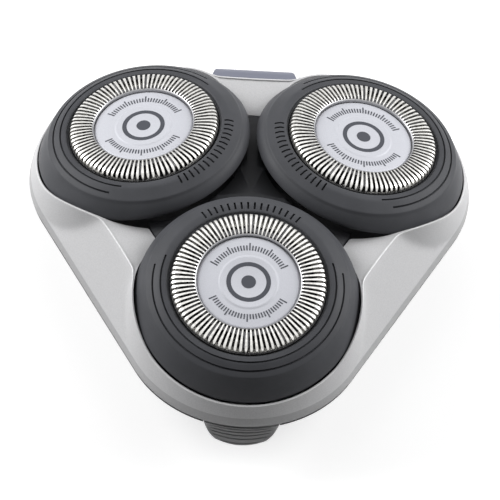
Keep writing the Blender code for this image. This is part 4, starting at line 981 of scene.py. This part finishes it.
# Inner frame and hair chamber: the CAD solids, merged, with the forms that show
innerSizes = {
    "steps": 96,
    "smooth": 35,
    "spine": [(0, 0.0120), (0.0160, 0.0120), (0.0160, 0.0194), (0.010, 0.0199),
              (0.005, 0.0205), (0, 0.0205)],
    "podRoom": [(0, 0.010), (0.0151, 0.010), (0.0151, 0.0238), (0.0149, 0.024), (0, 0.024)],
    "lip": [(0.0168, 0.0105), (0.0173, 0.0105), (0.01777, 0.0109), (0.0180, 0.01095),
            (0.0180, 0.0111), (0.01797, 0.01115), (0.0168, 0.01115)],
    "lipGap": ((-0.0055, -0.040, 0.009), (0.0055, -0.030, 0.013)),     # the release button's stem
}


def mergedMesh(node):
    bm = bmesh.new()
    bm.from_mesh(frame["nodes"][node].data)
    bmesh.ops.remove_doubles(bm, verts=bm.verts, dist=nodeMergeDistance)
    bmesh.ops.dissolve_limit(bm, angle_limit=math.radians(flatAngle), verts=bm.verts, edges=bm.edges)
    bmesh.ops.recalc_face_normals(bm, faces=bm.faces)
    return bm


def addForm(node, name, finish, form):
    # A form made as an object of its own is joined to a merged copy of the node
    smooth = innerSizes["smooth"]
    piece = makeObject(name, mergedMesh(node), finish, smooth)
    formMesh = bmesh.new()
    formMesh.from_mesh(form.data)
    bpy.data.objects.remove(form)
    return cut(piece, formMesh, "UNION", smooth)


def makeInnerFrame():
    sizes = innerSizes
    spine = makeObject("spine", spun(sizes["spine"], sizes["steps"], closed=False))
    reach = rimCentre()[0]
    for angle in layout["podAngles"].values():
        seat = Matrix.Rotation(math.radians(angle), 4, "Z") @ Matrix.Translation((reach, 0, 0))
        cut(spine, addMesh(bmesh.new(), spun(sizes["podRoom"], sizes["steps"], closed=False), seat))
    inner = addForm("inner_frame", "innerFrame", finishes["black"], spine)
    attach(inner, "lid")
    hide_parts("inner_frame")


def makeHairChamber():
    sizes = innerSizes
    lip = makeObject("lip", loopedBody(lidSizes["steps"], [hullPlace(*point) for point in sizes["lip"]]))
    cut(lip, boxMesh(*sizes["lipGap"]))
    chamber = addForm("hair_chamber", "hairChamber", finishes["chamber"], lip)
    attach(chamber, "base")
    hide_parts("hair_chamber")


makeInnerFrame()
makeHairChamber()
print("inner frame and chamber made")

# The other CAD solids, merged and shaded smooth
nodeFinishes = {
    "gear_cover": "chamber", "coupling_collar": "black", "hinge_pin": "spring", "drive_gear": "natural",
    "satellite_gear": "natural", "drive_spindle": "spring", "spindle_spring": "spring", "carrier": "black",
    "retaining_ring": "natural", "cutter": "blade", "cutter_hub": "hub",
}

# Pieces whose plain name a CAD node already has
fullerNames = {"carrier": "podCarrier", "cutter": "cutterDisc"}


def splitNode(node):
    kind, _, place = node.rpartition("_")
    return (kind, place) if place in layout["podAngles"] else (node, "")


def dressNode(node, kind, place):
    words = kind.split("_")
    name = words[0] + "".join(word.capitalize() for word in words[1:])
    name = fullerNames.get(name, name)
    finish = finishes[nodeFinishes[kind]]
    obj = makeObject(f"{name}_{place}" if place else name, mergedMesh(node), finish, innerSizes["smooth"])
    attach(obj, body_of(frame["nodes"][node])[0])
    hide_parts(node)
    return obj


def squashSpring(spring, place):
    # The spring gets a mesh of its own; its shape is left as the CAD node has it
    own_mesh(spring)


def dressNodes():
    for node in frame["nodes"]:
        kind, place = splitNode(node)
        if kind not in nodeFinishes:
            continue
        obj = dressNode(node, kind, place)
        if kind == "spindle_spring":
            squashSpring(obj, place)


dressNodes()
print("other solids dressed")

# Studio: two softboxes at the sides, a weak one above, and a white floor
studio = {
    "floorHalf": 3,
    "floorSeen": (0.85, 0.85, 0.85),
    "floorBounce": (0.30, 0.30, 0.30),
    "floorGlow": 0.50,
    "worldLight": 0.03,
    "lights": [
        {"name": "leftLight", "place": (-0.53, 0.17, 0.34), "size": 0.45, "power": 4.5},
        {"name": "rightLight", "place": (0.53, 0.17, 0.34), "size": 0.45, "power": 4.2},
        {"name": "topLight", "place": (0.0, 0.30, 0.54), "size": 0.40, "power": 0.3},
    ],
    "lightsAim": (0, 0, 0.015),
}


def seenRays(tree):
    # 1 for the rays that show the background itself: the camera's, and those that gloss or glass sends on
    path = tree.nodes.new("ShaderNodeLightPath")
    first = tree.nodes.new("ShaderNodeMath")
    first.operation = "MAXIMUM"
    second = tree.nodes.new("ShaderNodeMath")
    second.operation = "MAXIMUM"
    tree.links.new(path.outputs["Is Camera Ray"], first.inputs[0])
    tree.links.new(path.outputs["Is Glossy Ray"], first.inputs[1])
    tree.links.new(first.outputs[0], second.inputs[0])
    tree.links.new(path.outputs["Is Transmission Ray"], second.inputs[1])
    return second.outputs[0]


def makeFloor():
    bm = bmesh.new()
    bmesh.ops.create_grid(bm, x_segments=1, y_segments=1, size=studio["floorHalf"])
    floor = makeObject("floor", bm)
    material = bpy.data.materials.new("floorWhite")
    material.use_nodes = True
    tree = material.node_tree
    tree.nodes.clear()
    out = tree.nodes.new("ShaderNodeOutputMaterial")
    seen = tree.nodes.new("ShaderNodeBsdfDiffuse")
    seen.inputs["Color"].default_value = (*studio["floorSeen"], 1)
    glow = tree.nodes.new("ShaderNodeEmission")
    glow.inputs["Strength"].default_value = studio["floorGlow"]
    both = tree.nodes.new("ShaderNodeAddShader")
    bounce = tree.nodes.new("ShaderNodeBsdfDiffuse")
    bounce.inputs["Color"].default_value = (*studio["floorBounce"], 1)
    mix = tree.nodes.new("ShaderNodeMixShader")
    links = tree.links
    links.new(seen.outputs[0], both.inputs[0])
    links.new(glow.outputs[0], both.inputs[1])
    links.new(seenRays(tree), mix.inputs["Fac"])
    links.new(bounce.outputs[0], mix.inputs[1])
    links.new(both.outputs[0], mix.inputs[2])
    links.new(mix.outputs[0], out.inputs["Surface"])
    floor.data.materials.append(material)


def makeWorld():
    world = bpy.data.worlds.new("studioWorld")
    bpy.context.scene.world = world
    world.use_nodes = True
    tree = world.node_tree
    tree.nodes.clear()
    out = tree.nodes.new("ShaderNodeOutputWorld")
    light = tree.nodes.new("ShaderNodeBackground")
    light.inputs["Color"].default_value = (1, 1, 1, 1)
    light.inputs["Strength"].default_value = studio["worldLight"]
    white = tree.nodes.new("ShaderNodeBackground")
    white.inputs["Color"].default_value = (1, 1, 1, 1)
    white.inputs["Strength"].default_value = 1.0
    mix = tree.nodes.new("ShaderNodeMixShader")
    links = tree.links
    links.new(seenRays(tree), mix.inputs["Fac"])
    links.new(light.outputs[0], mix.inputs[1])
    links.new(white.outputs[0], mix.inputs[2])
    links.new(mix.outputs[0], out.inputs["Surface"])


def makeLights():
    for settings in studio["lights"]:
        light = bpy.data.lights.new(settings["name"], "AREA")
        light.size = settings["size"]
        light.energy = settings["power"]
        obj = bpy.data.objects.new(settings["name"], light)
        bpy.context.scene.collection.objects.link(obj)
        place = Vector(settings["place"])
        obj.location = place
        obj.rotation_euler = (Vector(studio["lightsAim"]) - place).to_track_quat("-Z", "Y").to_euler()


makeFloor()
makeWorld()
makeLights()

# Camera, fitted to the photo's nine circles
cameraSizes = {
    "elevation": 50.03,
    "yaw": -1.95,
    "roll": -4.45,
    "distance": 0.4143,
    "focalPixels": 2814.5,
    "framePixels": 500,
    "aimPixel": (252.2, 177.46),
    "aim": (0, 0, 0.024),
    "sensor": 36,
    "clipStart": 0.01,
}


def makeCamera():
    sizes = cameraSizes
    e, y, r = (math.radians(sizes[key]) for key in ("elevation", "yaw", "roll"))
    back = Vector((math.sin(y) * math.cos(e), -math.cos(y) * math.cos(e), math.sin(e)))
    right = Vector((math.cos(y), math.sin(y), 0))
    up = back.cross(right)
    rolledRight = right * math.cos(r) - up * math.sin(r)
    rolledUp = right * math.sin(r) + up * math.cos(r)
    data = bpy.data.cameras.new("photoCamera")
    data.sensor_width = sizes["sensor"]
    data.lens = sizes["focalPixels"] / sizes["framePixels"] * data.sensor_width
    half = sizes["framePixels"] / 2
    data.shift_x = (half - sizes["aimPixel"][0]) / sizes["framePixels"]
    data.shift_y = (sizes["aimPixel"][1] - half) / sizes["framePixels"]
    data.clip_start = sizes["clipStart"]
    camera = bpy.data.objects.new("photoCamera", data)
    bpy.context.scene.collection.objects.link(camera)
    turn = Matrix((rolledRight, rolledUp, back)).transposed().to_4x4()
    camera.matrix_world = Matrix.Translation(Vector(sizes["aim"]) + back * sizes["distance"]) @ turn
    bpy.context.scene.camera = camera


makeCamera()
bpy.context.scene.view_settings.view_transform = "Standard"
print("studio made")
